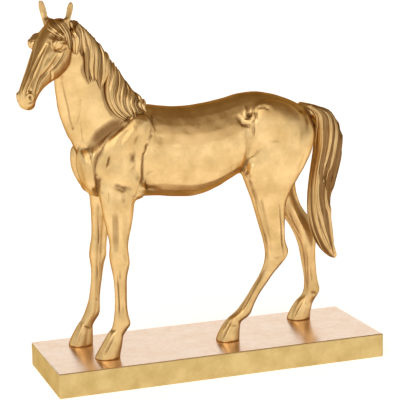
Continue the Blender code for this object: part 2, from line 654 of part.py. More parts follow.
def carve(mesh):
    """Moves the clay in and out along its own normals by every stroke."""
    points, normals = points_of(mesh), normals_of(mesh)
    lift = np.zeros(len(points))
    x, y, z = points.T
    seen = sighted(points)
    facing = ramp(normals[:, 1] * np.sign(y), -0.15, 0.35)
    head = points - np.array(HEAD_POLL, float)
    along, out, left = (head @ axis for axis in head_axes())
    inside_head = ramp(along, -6, 0) * ramp(out, -34, -26) * ramp(-z, -300, -212)
    add_strokes(lift, seen, facing * ramp(z, 118, 132), TRUNK_STROKES)
    add_strokes(lift, seen, facing * ramp(-x, 70, 95) * ramp(z, 170, 180), NECK_STROKES)
    breast = ramp(-normals[:, 0], 0.05, 0.4) * ramp(-x, 88, 98) * ramp(z, 128, 136)
    add_strokes(lift, points[:, 1:3], breast, BREAST_STROKES)
    side_view = points[:, [0, 2]]
    fore, hind = ramp(-x, 55, 65) * ramp(-z, -150, -130), ramp(x, -5, 5) * ramp(-z, -150, -125)
    add_strokes(lift, side_view, fore * (y < 0), FORELEG_STROKES, (-86, 84))
    add_strokes(lift, side_view, fore * (y > 0), FORELEG_STROKES, (-92.5, 82))
    add_strokes(lift, side_view, hind * (y < 0), HINDLEG_STROKES, (60, 74))
    add_strokes(lift, side_view, hind * (y > 0), HINDLEG_STROKES[1:3], (107, 82))
    for side in (LEFT, RIGHT):
        aside = -side * left
        mask = inside_head * ramp(aside, 1.0, 3.5) * ramp(-side * (normals @ head_axes()[2]), -0.2, 0.2)
        add_strokes(lift, np.stack([along, out], 1), mask, HEAD_STROKES)
    points += normals * lift[:, None]
    mesh.vertices.foreach_set("co", points.astype(np.float32).ravel())
    mesh.update()


def apply_modifiers(obj):
    """The object's evaluated mesh takes the place of its mesh and modifiers."""
    graph = bpy.context.evaluated_depsgraph_get()
    made = bpy.data.meshes.new_from_object(obj.evaluated_get(graph))
    obj.modifiers.clear()
    old, obj.data = obj.data, made
    bpy.data.meshes.remove(old)


def fuse(obj, voxel):
    remesh = obj.modifiers.new("fuse", "REMESH")
    remesh.mode = "VOXEL"
    remesh.voxel_size = voxel
    apply_modifiers(obj)


def points_of(mesh):
    points = np.empty(len(mesh.vertices) * 3, np.float32)
    mesh.vertices.foreach_get("co", points)
    return points.reshape(-1, 3).astype(float)


def relax(mesh, weights, rounds):
    """Moves each point towards the middle of its neighbours, by its weight, round after round."""
    edges = np.empty(len(mesh.edges) * 2, np.int32)
    mesh.edges.foreach_get("vertices", edges)
    edges = edges.reshape(-1, 2)
    points = points_of(mesh)
    count = np.bincount(edges.ravel(), minlength=len(points))[:, None]
    for _ in range(rounds):
        total = np.zeros_like(points)
        for axis in range(3):
            total[:, axis] += np.bincount(edges[:, 0], points[edges[:, 1], axis], len(points))
            total[:, axis] += np.bincount(edges[:, 1], points[edges[:, 0], axis], len(points))
        points += weights[:, None] * (total / count - points)
    mesh.vertices.foreach_set("co", points.astype(np.float32).ravel())
    mesh.update()


# Where two masses run into each other: x, z, radius, in side view
BLENDS = [
    (-80, 170, 40), (-100, 185, 25), (60, 180, 45), (35, 150, 18), (92, 195, 16),
    (-75, 140, 16), (-118, 240, 14), (80, 150, 22),
]


def blend_weights(points):
    weights = np.full(len(points), 0.25)
    for x, z, radius in BLENDS:
        away = np.hypot(points[:, 0] - x, points[:, 2] - z) / radius
        weights = np.maximum(weights, 0.5 * np.clip(1.6 - 1.6 * away, 0, 1))
    return weights


def weigh_relief(horse, points):
    """A vertex group that is low on the fine work, the head and the hair, so that thinning spares it."""
    group = horse.vertex_groups.new(name="plain")
    group.add(list(range(len(points))), 1.0, "REPLACE")
    x, y, z = points.T
    hair = np.maximum(ramp(z - 1.35 * x, 345, 360), ramp(x, 98, 104) * (np.abs(y) < 12.5))
    head = ramp(-x, 118, 124) * ramp(z, 205, 212)
    group.add(np.nonzero(np.maximum(hair, head) > 0.5)[0].tolist(), 0.3, "REPLACE")


def make_horse(collection, material):
    horse = bpy.data.objects.new("horse", model_body())
    collection.objects.link(horse)
    fuse(horse, CLAY_VOXEL)
    weights = blend_weights(points_of(horse.data))
    relax(horse.data, np.where(weights > 0.3, weights, 0.0), 22)
    relax(horse.data, np.full(len(weights), 0.5), 3)
    carve(horse.data)
    body, horse.data = horse.data, model_hair(horse.data)
    bpy.data.meshes.remove(body)
    fuse(horse, CAST_VOXEL)
    points = points_of(horse.data)
    relax(horse.data, np.full(len(points), 0.4), 1)
    points = points_of(horse.data)
    points[:, 2] = np.where(points[:, 2] < 0.9, 0.0, points[:, 2])
    horse.data.vertices.foreach_set("co", points.astype(np.float32).ravel())
    horse.data.update()
    weigh_relief(horse, points)
    thin = horse.modifiers.new("thin out", "DECIMATE")
    thin.vertex_group = "plain"
    thin.vertex_group_factor = RELIEF_SPARED
    horse.data.calc_loop_triangles()
    thin.ratio = HORSE_TRIANGLES / len(horse.data.loop_triangles)
    apply_modifiers(horse)
    horse.vertex_groups.clear()
    place = Matrix.Translation((HORSE_ALONG, HORSE_ACROSS, PLINTH_HEIGHT + SEAT_GAP))
    horse.data.transform(place @ Matrix.Scale(HORSE_HEIGHT / STEPS_TALL, 4))
    horse.data.shade_smooth()
    horse.data.materials.append(material)
    return horse


def make_plinth(collection, material):
    block = bmesh.new()
    bmesh.ops.create_cube(block, size=1.0)
    bmesh.ops.scale(block, vec=(PLINTH_LENGTH, PLINTH_WIDTH, PLINTH_HEIGHT), verts=block.verts)
    bmesh.ops.translate(block, vec=(0, 0, PLINTH_HEIGHT / 2), verts=block.verts)
    mesh = bpy.data.meshes.new("plinth")
    block.to_mesh(mesh)
    block.free()
    plinth = bpy.data.objects.new("plinth", mesh)
    collection.objects.link(plinth)
    edge = plinth.modifiers.new("worn edge", "BEVEL")
    edge.width = PLINTH_EDGE
    edge.segments = 3
    plinth.data.materials.append(material)
    return plinth


def gold_leaf(name, colour, roughness):
    material = bpy.data.materials.new(name)
    material.use_nodes = True
    shader = material.node_tree.nodes["Principled BSDF"]
    shader.inputs["Base Color"].default_value = (*colour, 1.0)
    shader.inputs["Metallic"].default_value = 1.0
    shader.inputs["Roughness"].default_value = roughness
    return material


def main():
    for obj in list(bpy.data.objects):
        bpy.data.objects.remove(obj)
    statue = bpy.data.collections.new("horse_statue")
    bpy.context.scene.collection.children.link(statue)
    gilding = gold_leaf("polished_gilding", (0.78, 0.53, 0.20), 0.28)
    plinth_gilding = gold_leaf("plinth_gilding", (0.74, 0.52, 0.24), 0.40)
    make_horse(statue, gilding)
    make_plinth(statue, plinth_gilding)


main()
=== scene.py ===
# A gilded resin horse statue: the horse and its plinth, in a plain pale studio.
import math

import bmesh
import bpy
import numpy as np
from mathutils import Matrix, Vector
from mathutils.bvhtree import BVHTree


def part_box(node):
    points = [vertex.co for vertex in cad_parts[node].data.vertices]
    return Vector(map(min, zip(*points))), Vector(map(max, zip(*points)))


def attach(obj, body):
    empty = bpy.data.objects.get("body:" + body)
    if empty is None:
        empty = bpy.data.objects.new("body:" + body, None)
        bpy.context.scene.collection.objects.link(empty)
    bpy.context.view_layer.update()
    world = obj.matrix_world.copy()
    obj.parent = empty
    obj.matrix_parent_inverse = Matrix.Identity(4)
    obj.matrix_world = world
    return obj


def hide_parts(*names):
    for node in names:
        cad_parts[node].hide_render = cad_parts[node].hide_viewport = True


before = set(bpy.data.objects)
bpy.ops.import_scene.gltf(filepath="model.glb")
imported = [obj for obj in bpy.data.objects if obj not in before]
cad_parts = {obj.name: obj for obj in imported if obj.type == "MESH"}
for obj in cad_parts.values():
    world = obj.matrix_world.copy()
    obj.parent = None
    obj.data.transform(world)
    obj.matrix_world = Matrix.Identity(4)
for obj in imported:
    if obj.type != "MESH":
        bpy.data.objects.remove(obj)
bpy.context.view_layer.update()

print("frame loaded")


# Driving dimensions, in metres
plinthHeight = 0.0215
plinthEdge = 0.0012
horseHeight = 0.304
horseAlong = 0.0
horseAcross = 0.003
seatGap = 0.0003

# How finely the figure is worked, in its own steps: one step is a millimetre at the real size
stepsTall = 304
clayVoxel = 0.6
ringSpacing = 3.0
ringSides = 28
horseTriangles = 190000
blendRounds, evenRounds = 88, 12

nearSide, farSide = -1, 1

# How much wider the barrel is below its middle than above
trunkSag = 0.16

# A row of a limb: front x, z; back x, z; centre y; half width; squareness, where 2 is an ellipse
trunkRows = [
    (-114, 176, -113, 152, 0, 8, 2.05),
    (-109, 190, -110, 144, 0, 19, 2.05),
    (-98, 203, -100, 137.5, 0, 25, 2.05),
    (-84, 210, -84, 134.5, 0, 26.5, 2.05),
    (-66, 214, -66, 134, 0, 27, 2.05),
    (-48, 213, -48, 133.6, 0, 28.5, 2.05),
    (-30, 210.5, -30, 131.5, 0, 31, 2.05),
    (-12, 210.5, -12, 131, 0, 32.5, 2.05),
    (5, 212.3, 5, 135.5, 0, 32.5, 2.05),
    (20, 215, 20, 143, 0, 31, 2.05),
    (33, 218, 33, 149, 0, 29.5, 2.05),
    (45, 219, 45, 150, 0, 29.5, 2.05),
    (60, 217, 60, 148, 0, 30, 2.05),
    (75, 212.5, 75, 150, 0, 28, 2.05),
    (88, 206.5, 88, 158, 0, 23, 2.05),
    (98, 199, 97, 168, 0, 15, 2.05),
    (103, 190, 102, 178, 0, 6, 2.0),
]
forelegLeft = [
    (-104, 158, -66, 150, -16, 11, 2.2),
    (-102, 143, -68, 141, -20, 11.5, 2.2),
    (-100.5, 133, -71.5, 133, -22, 11, 2.2),
    (-99, 123, -73.3, 123, -23, 10, 2.2),
    (-97, 113, -75.2, 113, -23, 8.8, 2.2),
    (-95, 103, -77.6, 103, -23, 7.6, 2.2),
    (-94.2, 96, -78.6, 96, -23, 7.2, 2.3),
    (-94.8, 90, -78.2, 89, -23, 7.8, 2.5),
    (-94.4, 84, -77.6, 82, -23, 7.9, 2.5),
    (-93.2, 77, -78.8, 76, -23, 7.0, 2.4),
    (-92, 70, -80, 70, -23, 5.8, 2.2),
    (-91.3, 60, -80.4, 60, -23, 5.0, 2.2),
    (-91.2, 50, -80.6, 50, -23, 4.8, 2.2),
    (-91.6, 40, -80.4, 40, -23, 5.2, 2.2),
    (-92.3, 34, -79.2, 33, -23, 6.3, 2.2),
    (-93, 29.5, -78, 27.5, -23, 6.8, 2.2),
    (-94.2, 25.5, -81, 23.5, -23, 6.2, 2.2),
    (-96.5, 22, -85, 18, -23, 6.0, 2.2),
    (-101, 14, -87, 10, -23, 6.0, 2.2),
]
forehoofLeft = [
    (-96.8, 22.3, -85.2, 17, -23, 6.6, 2.2),
    (-102.5, 13, -86.6, 9, -23, 8.0, 2.3),
    (-108, 4, -88, 3.5, -23, 9.2, 2.3),
    (-110.5, 0, -88.3, 0, -23, 9.6, 2.3),
]
forelegRight = [
    (-104, 158, -66, 150, 16, 11, 2.2),
    (-100, 143, -67, 141, 20, 11.5, 2.2),
    (-98.5, 133, -70, 133, 22, 11, 2.2),
    (-97.5, 123, -74, 123, 23, 10, 2.2),
    (-97.2, 113, -79, 113, 23, 8.8, 2.2),
    (-97.2, 103, -82, 103, 23, 7.6, 2.2),
    (-97.8, 94, -84, 94, 23, 7.2, 2.3),
    (-99, 88, -85, 87, 23, 7.8, 2.5),
    (-100, 80, -85.3, 79, 23, 7.9, 2.5),
    (-99.4, 73, -87.3, 73, 23, 7.0, 2.4),
    (-98.9, 67, -88.2, 67, 23, 5.8, 2.2),
    (-99.3, 58, -89.6, 58, 23, 5.0, 2.2),
    (-100.5, 48, -91.2, 48, 23, 4.8, 2.2),
    (-102.4, 38, -92.2, 38, 23, 5.2, 2.2),
    (-104.4, 32, -92.2, 32, 23, 6.3, 2.2),
    (-106.2, 27.5, -93.0, 26.5, 23, 6.8, 2.2),
    (-108.2, 23.5, -96.5, 21.5, 23, 6.2, 2.2),
    (-111, 19, -99.5, 16.5, 23, 6.0, 2.2),
    (-115.5, 11, -101, 9, 23, 6.0, 2.2),
]
forehoofRight = [
    (-111.2, 19.5, -99.5, 15.5, 23, 6.6, 2.2),
    (-116, 12, -99.6, 9, 23, 8.0, 2.3),
    (-120.3, 3.5, -99.8, 3.5, 23, 9.2, 2.3),
    (-121.8, 0, -99.8, 0, 23, 9.6, 2.3),
]
hindlegLeft = [
    (34, 185, 92, 200, -13, 12, 2.2),
    (30, 172, 97, 186, -16, 15.5, 2.3),
    (28, 158, 95, 170, -18, 16.5, 2.3),
    (29.5, 146, 89, 156, -18.5, 16, 2.3),
    (33.5, 136, 81, 143, -18.5, 14.5, 2.2),
    (37.5, 126, 74, 131, -17.5, 12.5, 2.2),
    (40.8, 116, 70, 120, -16.5, 11, 2.2),
    (43.8, 106, 69.6, 110, -16, 9.6, 2.2),
    (46.8, 96, 69.4, 99, -15.5, 8.4, 2.2),
    (49.4, 87, 69.8, 88, -15.2, 7.5, 2.2),
    (50.9, 80, 71.3, 81.5, -15, 7.2, 2.3),
    (51.6, 74, 73, 77, -15, 7.5, 2.4),
    (50.8, 67, 71.5, 71.5, -15, 7.6, 2.4),
    (48.6, 61, 66.5, 65.5, -15, 6.7, 2.3),
    (44.5, 53.5, 59, 57.5, -15, 5.7, 2.2),
    (39.5, 46.5, 52.5, 49, -15, 5.1, 2.2),
    (34.5, 39, 46.5, 41.5, -15, 4.9, 2.2),
    (29.5, 32, 41.5, 33.5, -15, 5.2, 2.2),
    (25, 26.5, 38.2, 27, -15, 6.0, 2.2),
    (21.5, 23.2, 36.2, 22.3, -15, 6.6, 2.2),
    (18, 21, 31.5, 18.3, -15, 6.2, 2.2),
    (14.8, 18.8, 27.5, 16.2, -15, 6.0, 2.2),
    (10, 12, 25.5, 9, -15, 6.0, 2.2),
]
hindhoofLeft = [
    (13.6, 17.6, 26.2, 14, -15, 6.6, 2.2),
    (9.2, 11.5, 25.3, 8, -15, 7.8, 2.3),
    (5, 3.6, 25, 3, -15, 9.0, 2.3),
    (3.7, 0, 25, 0, -15, 9.4, 2.3),
]
hindlegRight = [
    (38, 185, 92, 200, 13, 12, 2.2),
    (38, 172, 97, 186, 16, 15.5, 2.3),
    (41, 157, 98, 170, 19, 16.5, 2.3),
    (47, 143, 97, 154, 20.5, 15.5, 2.3),
    (56, 130, 96, 140, 22, 13.5, 2.2),
    (67, 118, 96.5, 127, 23, 11.5, 2.2),
    (78, 107, 99, 116, 23, 9.6, 2.2),
    (86.5, 97, 103.5, 106, 23, 8.2, 2.2),
    (93.2, 87, 110, 97, 23, 7.4, 2.3),
    (98, 77, 116.3, 87.5, 23, 7.3, 2.4),
    (101, 68.5, 117.3, 77, 23, 7.4, 2.4),
    (102.6, 60, 116.8, 65, 23, 6.6, 2.3),
    (104.3, 50, 117.4, 52, 23, 5.6, 2.2),
    (106, 40, 118.4, 41, 23, 5.1, 2.2),
    (106.5, 32, 120, 32, 23, 5.6, 2.2),
    (106, 26, 121.3, 26, 23, 6.5, 2.2),
    (104.3, 22, 119.5, 21.5, 23, 6.3, 2.2),
    (101.8, 19.3, 116, 17, 23, 6.0, 2.2),
    (98.5, 17, 113.7, 12.5, 23, 6.2, 2.2),
    (95, 11, 112, 8, 23, 6.2, 2.2),
]
hindhoofRight = [
    (98.5, 17, 113.4, 11.5, 23, 6.8, 2.2),
    (94, 10.5, 111.8, 7, 23, 7.9, 2.3),
    (90.2, 3.4, 111.2, 3, 23, 9.0, 2.3),
    (88.8, 0, 111.2, 0, 23, 9.4, 2.3),
]
tailRows = [
    (90, 200, 92, 208, 0, 5, 2.0),
    (97, 196, 100, 206.5, 0, 6, 2.0),
    (103, 190, 110, 204, 0, 7.5, 2.0),
    (106, 181, 121, 198.5, 0, 8.5, 2.0),
    (106, 170, 130, 188, 0, 9.5, 2.0),
    (105.5, 160, 134, 175, 0, 10, 2.0),
    (104, 150, 134, 162, 0, 10, 2.0),
    (102.5, 140, 131.5, 148, 0, 10, 2.0),
    (101, 130, 128, 134, 0, 9.5, 2.0),
    (100, 120, 124, 122, 0, 9.2, 2.0),
    (99.8, 110, 122.5, 110, 0, 9, 2.0),
    (100, 98, 123.5, 100, 0, 9, 2.0),
    (102.5, 87, 125, 91, 0, 8.5, 2.0),
    (106.5, 77.5, 126, 82, 0, 7.5, 2.0),
    (112, 69.5, 127, 74, 0, 6, 2.0),
    (119, 63, 128.5, 68, 0, 4, 2.0),
    (125.5, 59.5, 129.5, 63, 0, 2, 2.0),
]
# The neck's rows also turn to the horse's left, in degrees
neckRows = [
    (-104, 152, -48, 206, 0, 22, 2.2, 0),
    (-113, 170, -54, 213, 0, 21, 2.2, 2),
    (-120, 185, -61, 222.5, -0.5, 18, 2.2, 5),
    (-126.3, 199, -70, 233.5, -1.5, 15.5, 2.2, 9),
    (-131, 212, -79, 247, -3, 13.5, 2.2, 13),
    (-133.5, 225, -87.5, 259.5, -5, 12.3, 2.2, 17),
    (-134.5, 238, -96.5, 272, -7, 12, 2.2, 21),
    (-133, 251, -106, 282, -9, 12, 2.2, 25),
    (-130, 264, -115.5, 288, -11, 11, 2.2, 29),
]

# The head, laid out along its own axis from poll to lips: along, forehead side, jaw side, half width,
# squareness; the turn and drop are in degrees
headPoll = (-131, -14, 285.5)
headTurn = 45
headDrop = 46
headRows = [
    (-7, 0, -12, 6, 2.2),
    (-1, 5, -18, 9, 2.2),
    (6, 7.5, -22, 11.5, 2.3),
    (13, 8.8, -25.5, 13.2, 2.4),
    (20, 9.2, -28, 13.5, 2.4),
    (28, 8.8, -27.5, 12, 2.6),
    (36, 7.9, -25.5, 10.2, 2.9),
    (44, 7.0, -20.5, 8.7, 3.1),
    (52, 6.2, -16.3, 7.5, 3.1),
    (60, 5.6, -13.4, 6.8, 3.0),
    (68, 5.0, -12.4, 6.8, 2.6),
    (74, 4.2, -12.6, 7.0, 2.2),
    (79, 1.8, -12.2, 6.4, 2.2),
    (82.5, -2, -9.4, 3.6, 2.0),
]


def splineRows(rows, spacing):
    # Rows read along a cubic Hermite curve through them, a row about every spacing along their middle line
    table = np.array(rows, float)
    middle = 0.5 * (table[:, 0:2] + table[:, 2:4]) if table.shape[1] > 5 else table[:, 0:1]
    steps = np.linalg.norm(np.diff(middle, axis=0), axis=1)
    at = np.concatenate([[0], np.cumsum(np.maximum(steps, 1e-6))])
    slope = np.gradient(table, at, axis=0)
    count = max(int(at[-1] / spacing), len(rows)) + 1
    wanted = np.linspace(0, at[-1], count)
    span = np.clip(np.searchsorted(at, wanted, side="right") - 1, 0, len(rows) - 2)
    width = (at[span + 1] - at[span])[:, None]
    t = (wanted - at[span])[:, None] / width
    start, end = table[span], table[span + 1]
    return (
        (2 * t**3 - 3 * t**2 + 1) * start
        + (t**3 - 2 * t**2 + t) * width * slope[span]
        + (3 * t**2 - 2 * t**3) * end
        + (t**3 - t**2) * width * slope[span + 1]
    )


def roundedRing(squareness):
    # A superellipse as two arrays, towards the front and to the side: |cos|^(2/n) and |sin|^(2/n), each with
    # its sign
    angle = np.linspace(0, 2 * math.pi, ringSides, endpoint=False)
    front, side = np.cos(angle), np.sin(angle)
    power = 2.0 / squareness
    return np.sign(front) * np.abs(front) ** power, np.sign(side) * np.abs(side) ** power


def limbRings(rows, sag=0.0):
    # Rings of a limb: each lies across it through its front and back points, and may turn about Z;
    # the sag widens a ring at its back point and narrows it at its front one, by that share
    rings = []
    for row in splineRows(rows, ringSpacing):
        frontX, frontZ, backX, backZ, across, halfWidth, squareness = row[:7]
        turn = math.radians(row[7]) if len(row) > 7 else 0.0
        centre = np.array([0.5 * (frontX + backX), across, 0.5 * (frontZ + backZ)])
        reachX = 0.5 * (frontX - backX)
        reach = np.array([reachX * math.cos(turn), reachX * math.sin(turn), 0.5 * (frontZ - backZ)])
        sideways = np.array([-math.sin(turn), math.cos(turn), 0.0]) * halfWidth
        front, side = roundedRing(squareness)
        rings.append(centre + np.outer(front, reach) + np.outer(side * (1 - sag * front), sideways))
    return rings


def drawnIn(rows, share):
    # A limb's rows drawn in towards their middle line by the share
    table = np.array(rows, float)
    middle = 0.5 * (table[:, :2] + table[:, 2:4])
    table[:, :2] = middle + share * (table[:, :2] - middle)
    table[:, 2:4] = middle + share * (table[:, 2:4] - middle)
    table[:, 5] *= share
    return [tuple(row) for row in table]


def headAxes():
    # The head's own directions: along it, out of its forehead, and to its left
    turn, drop = math.radians(headTurn), math.radians(headDrop)
    ahead = np.array([-math.cos(turn), -math.sin(turn), 0.0])
    up = np.array([0.0, 0.0, 1.0])
    along = math.sin(drop) * ahead - math.cos(drop) * up
    out = math.cos(drop) * ahead + math.sin(drop) * up
    return along, out, np.array([math.sin(turn), -math.cos(turn), 0.0])


def onHead(along, out, side):
    # A point given in the head's own directions, its side counted to the right, in the figure's frame
    axes = headAxes()
    return np.array(headPoll, float) + along * axes[0] + out * axes[1] - side * axes[2]


def headPlaces(points):
    # Points of the figure's frame in the head's own directions: along, out and to the left
    head = points - np.array(headPoll, float)
    return [head @ axis for axis in headAxes()]


def headRings():
    # Superellipses across the head's axis, from its forehead side to its jaw side
    rings = []
    _, out, left = headAxes()
    for along, top, bottom, halfWidth, squareness in splineRows(headRows, ringSpacing):
        front, side = roundedRing(squareness)
        middle, reach = 0.5 * (top + bottom), 0.5 * (top - bottom)
        ring = onHead(along, middle, 0) + np.outer(front * reach, out)
        rings.append(ring + np.outer(side * halfWidth, left))
    return rings


def ringFaces(rings, sides, start=0):
    # Faces of a closed tube, its points counted ring by ring: quads between neighbours and a cap at each end
    index = np.arange(rings * sides).reshape(rings, sides) + start
    turned = np.roll(index, -1, axis=1)
    quads = np.stack([index[:-1], turned[:-1], turned[1:], index[1:]], axis=-1).reshape(-1, 4)
    return quads.tolist() + [index[0][::-1].tolist(), index[-1].tolist()]


def addLoft(clay, rings):
    # A closed skin over the rings joins the clay
    grid = np.array(rings)
    skin = bpy.data.meshes.new("loft")
    skin.from_pydata(grid.reshape(-1, 3).tolist(), [], ringFaces(*grid.shape[:2]))
    clay.from_mesh(skin)
    bpy.data.meshes.remove(skin)


def addBall(clay, centre, radii, axes=None):
    # An ellipsoid of clay: its radii lie along the three axes, or along X, Y and Z
    columns = np.eye(3) if axes is None else np.array(axes)
    turn = Matrix([list(columns[:, row]) for row in range(3)]).to_4x4()
    shape = Matrix.Translation(Vector(centre)) @ turn @ Matrix.Diagonal((*radii, 1.0))
    bmesh.ops.create_icosphere(clay, subdivisions=3, radius=1.0, matrix=shape)


def tiltedAxes(tilt):
    # Long, deep and thick directions of a flat muscle: the long one leans forward from upright by tilt
    lean = math.radians(tilt)
    long = np.array([-math.sin(lean), 0.0, math.cos(lean)])
    deep = np.array([math.cos(lean), 0.0, math.sin(lean)])
    return np.array([long, deep, [0.0, 1.0, 0.0]])


# Muscles on both sides of the trunk: x, z, y out from the middle, half length, half depth, half thickness,
# and tilt in degrees
muscles = [
    (-79, 181, 18, 33, 16, 10.5, -43),
    (-82, 156, 20, 22, 14, 10.5, 55),
    (-108, 162, 11, 20, 9, 12, 15),
    (-72, 148, 21, 14, 11, 9, 30),
    (62, 185, 17, 34, 26, 15, 60),
]


def addMuscles(clay):
    # Each muscle is an ellipsoid, once on either side
    for x, z, out, halfLong, halfDeep, halfThick, tilt in muscles:
        for side in (nearSide, farSide):
            addBall(clay, (x, side * out, z), (halfLong, halfDeep, halfThick), tiltedAxes(tilt))


# Forms of both sides of the head: along, out and to the side, then radii; and the chin, on its middle
headForms = [
    (21, 3.0, 11.0, (8, 4.6, 5.0)),
    (19, -13.5, 7.2, (14.5, 13.5, 5.6)),
    (75.0, 0.0, 4.2, (4.8, 3.2, 2.7)),
    (-1, -1, 8.2, (5, 5.5, 4.5)),
]
chin = (75.5, -11.2, 0, (5.5, 3.6, 5))


def addHeadForms(clay):
    # Ellipsoids along the head's own axes
    axes = headAxes()
    for side in (nearSide, farSide):
        for along, out, aside, radii in headForms:
            addBall(clay, onHead(along, out, side * aside), radii, axes)
    addBall(clay, onHead(*chin[:3]), chin[3], axes)


# Ears in the head's own directions, in steps, and the form they share: widths and dent as shares of the half
# width, but the tip's in steps
earRight = {"root": (-0.5, 0.5, 10.4), "tip": (-14.9, 13.5, 16.1), "half width": 3.4}
earLeft = {"root": (-0.5, 0.5, -9.0), "tip": (-13.8, 12.3, -13.5), "half width": 3.5}
earForm = {"rings": 15, "root width": 0.72, "swell": 0.5, "tip power": 2.8, "tip width": 0.2,
           "dent": 1.25, "flatness": 0.62}


def addEar(clay, values):
    # A leaf: w(s) = half width x (root width + swell s) x sqrt(1 - s^power) + tip width, s from root to tip,
    # across rings whose front is dented by sin^2 of the angle
    start, end = onHead(*values["root"]), onHead(*values["tip"])
    up = end - start
    length = np.linalg.norm(up)
    up = up / length
    across = np.cross(up, headAxes()[1])
    across = across / np.linalg.norm(across)
    deep = np.cross(across, up)
    angle = np.linspace(0, 2 * math.pi, ringSides, endpoint=False)
    front = np.clip(np.sin(angle), 0, 1)
    rings = []
    for share in np.linspace(0, 1, earForm["rings"]):
        leaf = math.sqrt(max(1 - share**earForm["tip power"], 0))
        grown = earForm["root width"] + earForm["swell"] * share
        wide = values["half width"] * grown * leaf + earForm["tip width"]
        dent = earForm["dent"] * math.sin(math.pi * min(share * 1.1, 1)) * front**2
        ring = start + up * length * share + np.outer(np.cos(angle) * wide, across)
        rings.append(ring + np.outer((np.sin(angle) - dent) * earForm["flatness"] * wide, deep))
    addLoft(clay, rings)


# How much of the tail's width its core has, for the locks to lie on
tailCore = 0.8


def modelBody():
    # Every mass of the horse but its hair, still overlapping
    clay = bmesh.new()
    addLoft(clay, limbRings(drawnIn(tailRows, tailCore)))
    addLoft(clay, limbRings(trunkRows, trunkSag))
    for rows in (
        neckRows,
        forelegLeft, forehoofLeft, forelegRight, forehoofRight,
        hindlegLeft, hindhoofLeft, hindlegRight, hindhoofRight,
    ):
        addLoft(clay, limbRings(rows))
    addLoft(clay, headRings())
    addMuscles(clay)
    addHeadForms(clay)
    addEar(clay, earLeft)
    addEar(clay, earRight)
    bmesh.ops.recalc_face_normals(clay, faces=clay.faces)
    mesh = bpy.data.meshes.new("gildedHorse")
    clay.to_mesh(mesh)
    clay.free()
    return mesh


# The photograph's camera, fitted with the plinth at its real size: its place in metres from the centre of the
# plinth's top, and its directions; "lens" is in millimetres on a sensor 36 mm wide
camera = {
    "place": (-0.40702, -1.11965, 0.36506),
    "ahead": (0.33112, 0.92288, -0.19660),
    "upward": (0.082251, 0.179328, 0.980345),
    "lens": 124.36, "sensor": 36.0,
}

# The same camera in the figure's steps, with its lens in pixels of the 400 pixel wide picture
eyePlace = np.array([-407.0, -1122.7, 364.8])
eyeAhead = np.array(camera["ahead"])
eyeRight = np.array([0.939996, -0.340786, -0.016528])
eyeUp = np.array(camera["upward"])
eyeLens = 1381.8
pictureMiddle = 200.0

# Locks of hair as the photograph's pixels, from root to tip
maneLocksNearPoll = [
    [(70, 22), (71, 30), (72.5, 40), (73, 48), (74, 54)],
    [(71, 20), (74, 30), (75.5, 40), (75.5, 48), (76, 54.5)],
    [(73, 20), (77, 29), (79, 40), (78, 48), (76.5, 55)],
    [(76, 22), (80, 31), (81.5, 42), (84, 52), (87.5, 58.5)],
    [(79, 25), (83, 33), (86, 43), (88, 51), (88.5, 58)],
    [(81, 27), (84, 40), (85, 52), (86, 62), (86, 70), (87.5, 78), (89, 84)],
    [(85, 30), (89, 42), (90, 55), (90, 67), (91.5, 75), (93, 81.5)],
    [(89, 34), (93, 46), (94.5, 58), (94.5, 70), (96, 81)],
    [(93, 38), (97, 50), (98, 62), (97, 74), (98.5, 83), (100, 89.5)],
    [(97, 42), (101, 54), (102, 66), (102, 76), (100.5, 88)],
    [(101, 45), (105, 57), (106, 68), (104.5, 77), (102, 86)],
]
maneLocksNearWithers = [
    [(104, 48), (107.5, 60), (108.5, 72), (106, 84), (106.5, 96), (111, 108), (118, 116), (126, 120.5)],
    [(107, 52), (111, 63), (112, 76), (109.5, 90), (111, 101), (117, 111), (127, 119.5)],
    [(110, 57), (114.5, 70), (114, 84), (113, 95), (117, 106), (128, 118)],
    [(113, 63), (118, 76), (118, 88), (116, 98), (120, 108), (129.5, 117)],
    [(116, 69), (121, 82), (120.5, 94), (120, 103), (124, 111), (131, 117)],
    [(120, 75), (124.5, 87), (123.5, 98), (124, 106), (131.5, 116)],
    [(123.5, 80), (128, 92), (126.5, 101), (128, 108), (133, 116.5)],
    [(127, 85), (131, 96), (130, 104), (134, 112), (135.5, 117.5)],
    [(131, 90), (134.5, 99), (134, 106), (137, 111), (138, 114)],
    [(134, 93), (138, 101), (138, 106), (142, 110.5)],
    [(138, 95.5), (141.5, 102), (142, 107), (146, 112)],
]
forelockLocks = [
    [(47, 24.5), (49, 29), (53, 32.5), (57, 35), (61, 37.5)],
    [(48, 22), (51, 27), (55, 31), (60, 34.5), (64.5, 38.5)],
    [(50, 20), (54, 26), (58, 30.5), (63, 35), (66, 40)],
    [(53, 18.5), (57, 24), (61, 30), (65, 36.5), (66.5, 42)],
    [(56, 18), (59, 23), (63, 29), (66, 35), (68, 42), (69, 49)],
    [(59, 17), (62, 22), (66, 28), (69, 35), (70, 43), (70.5, 50)],
]
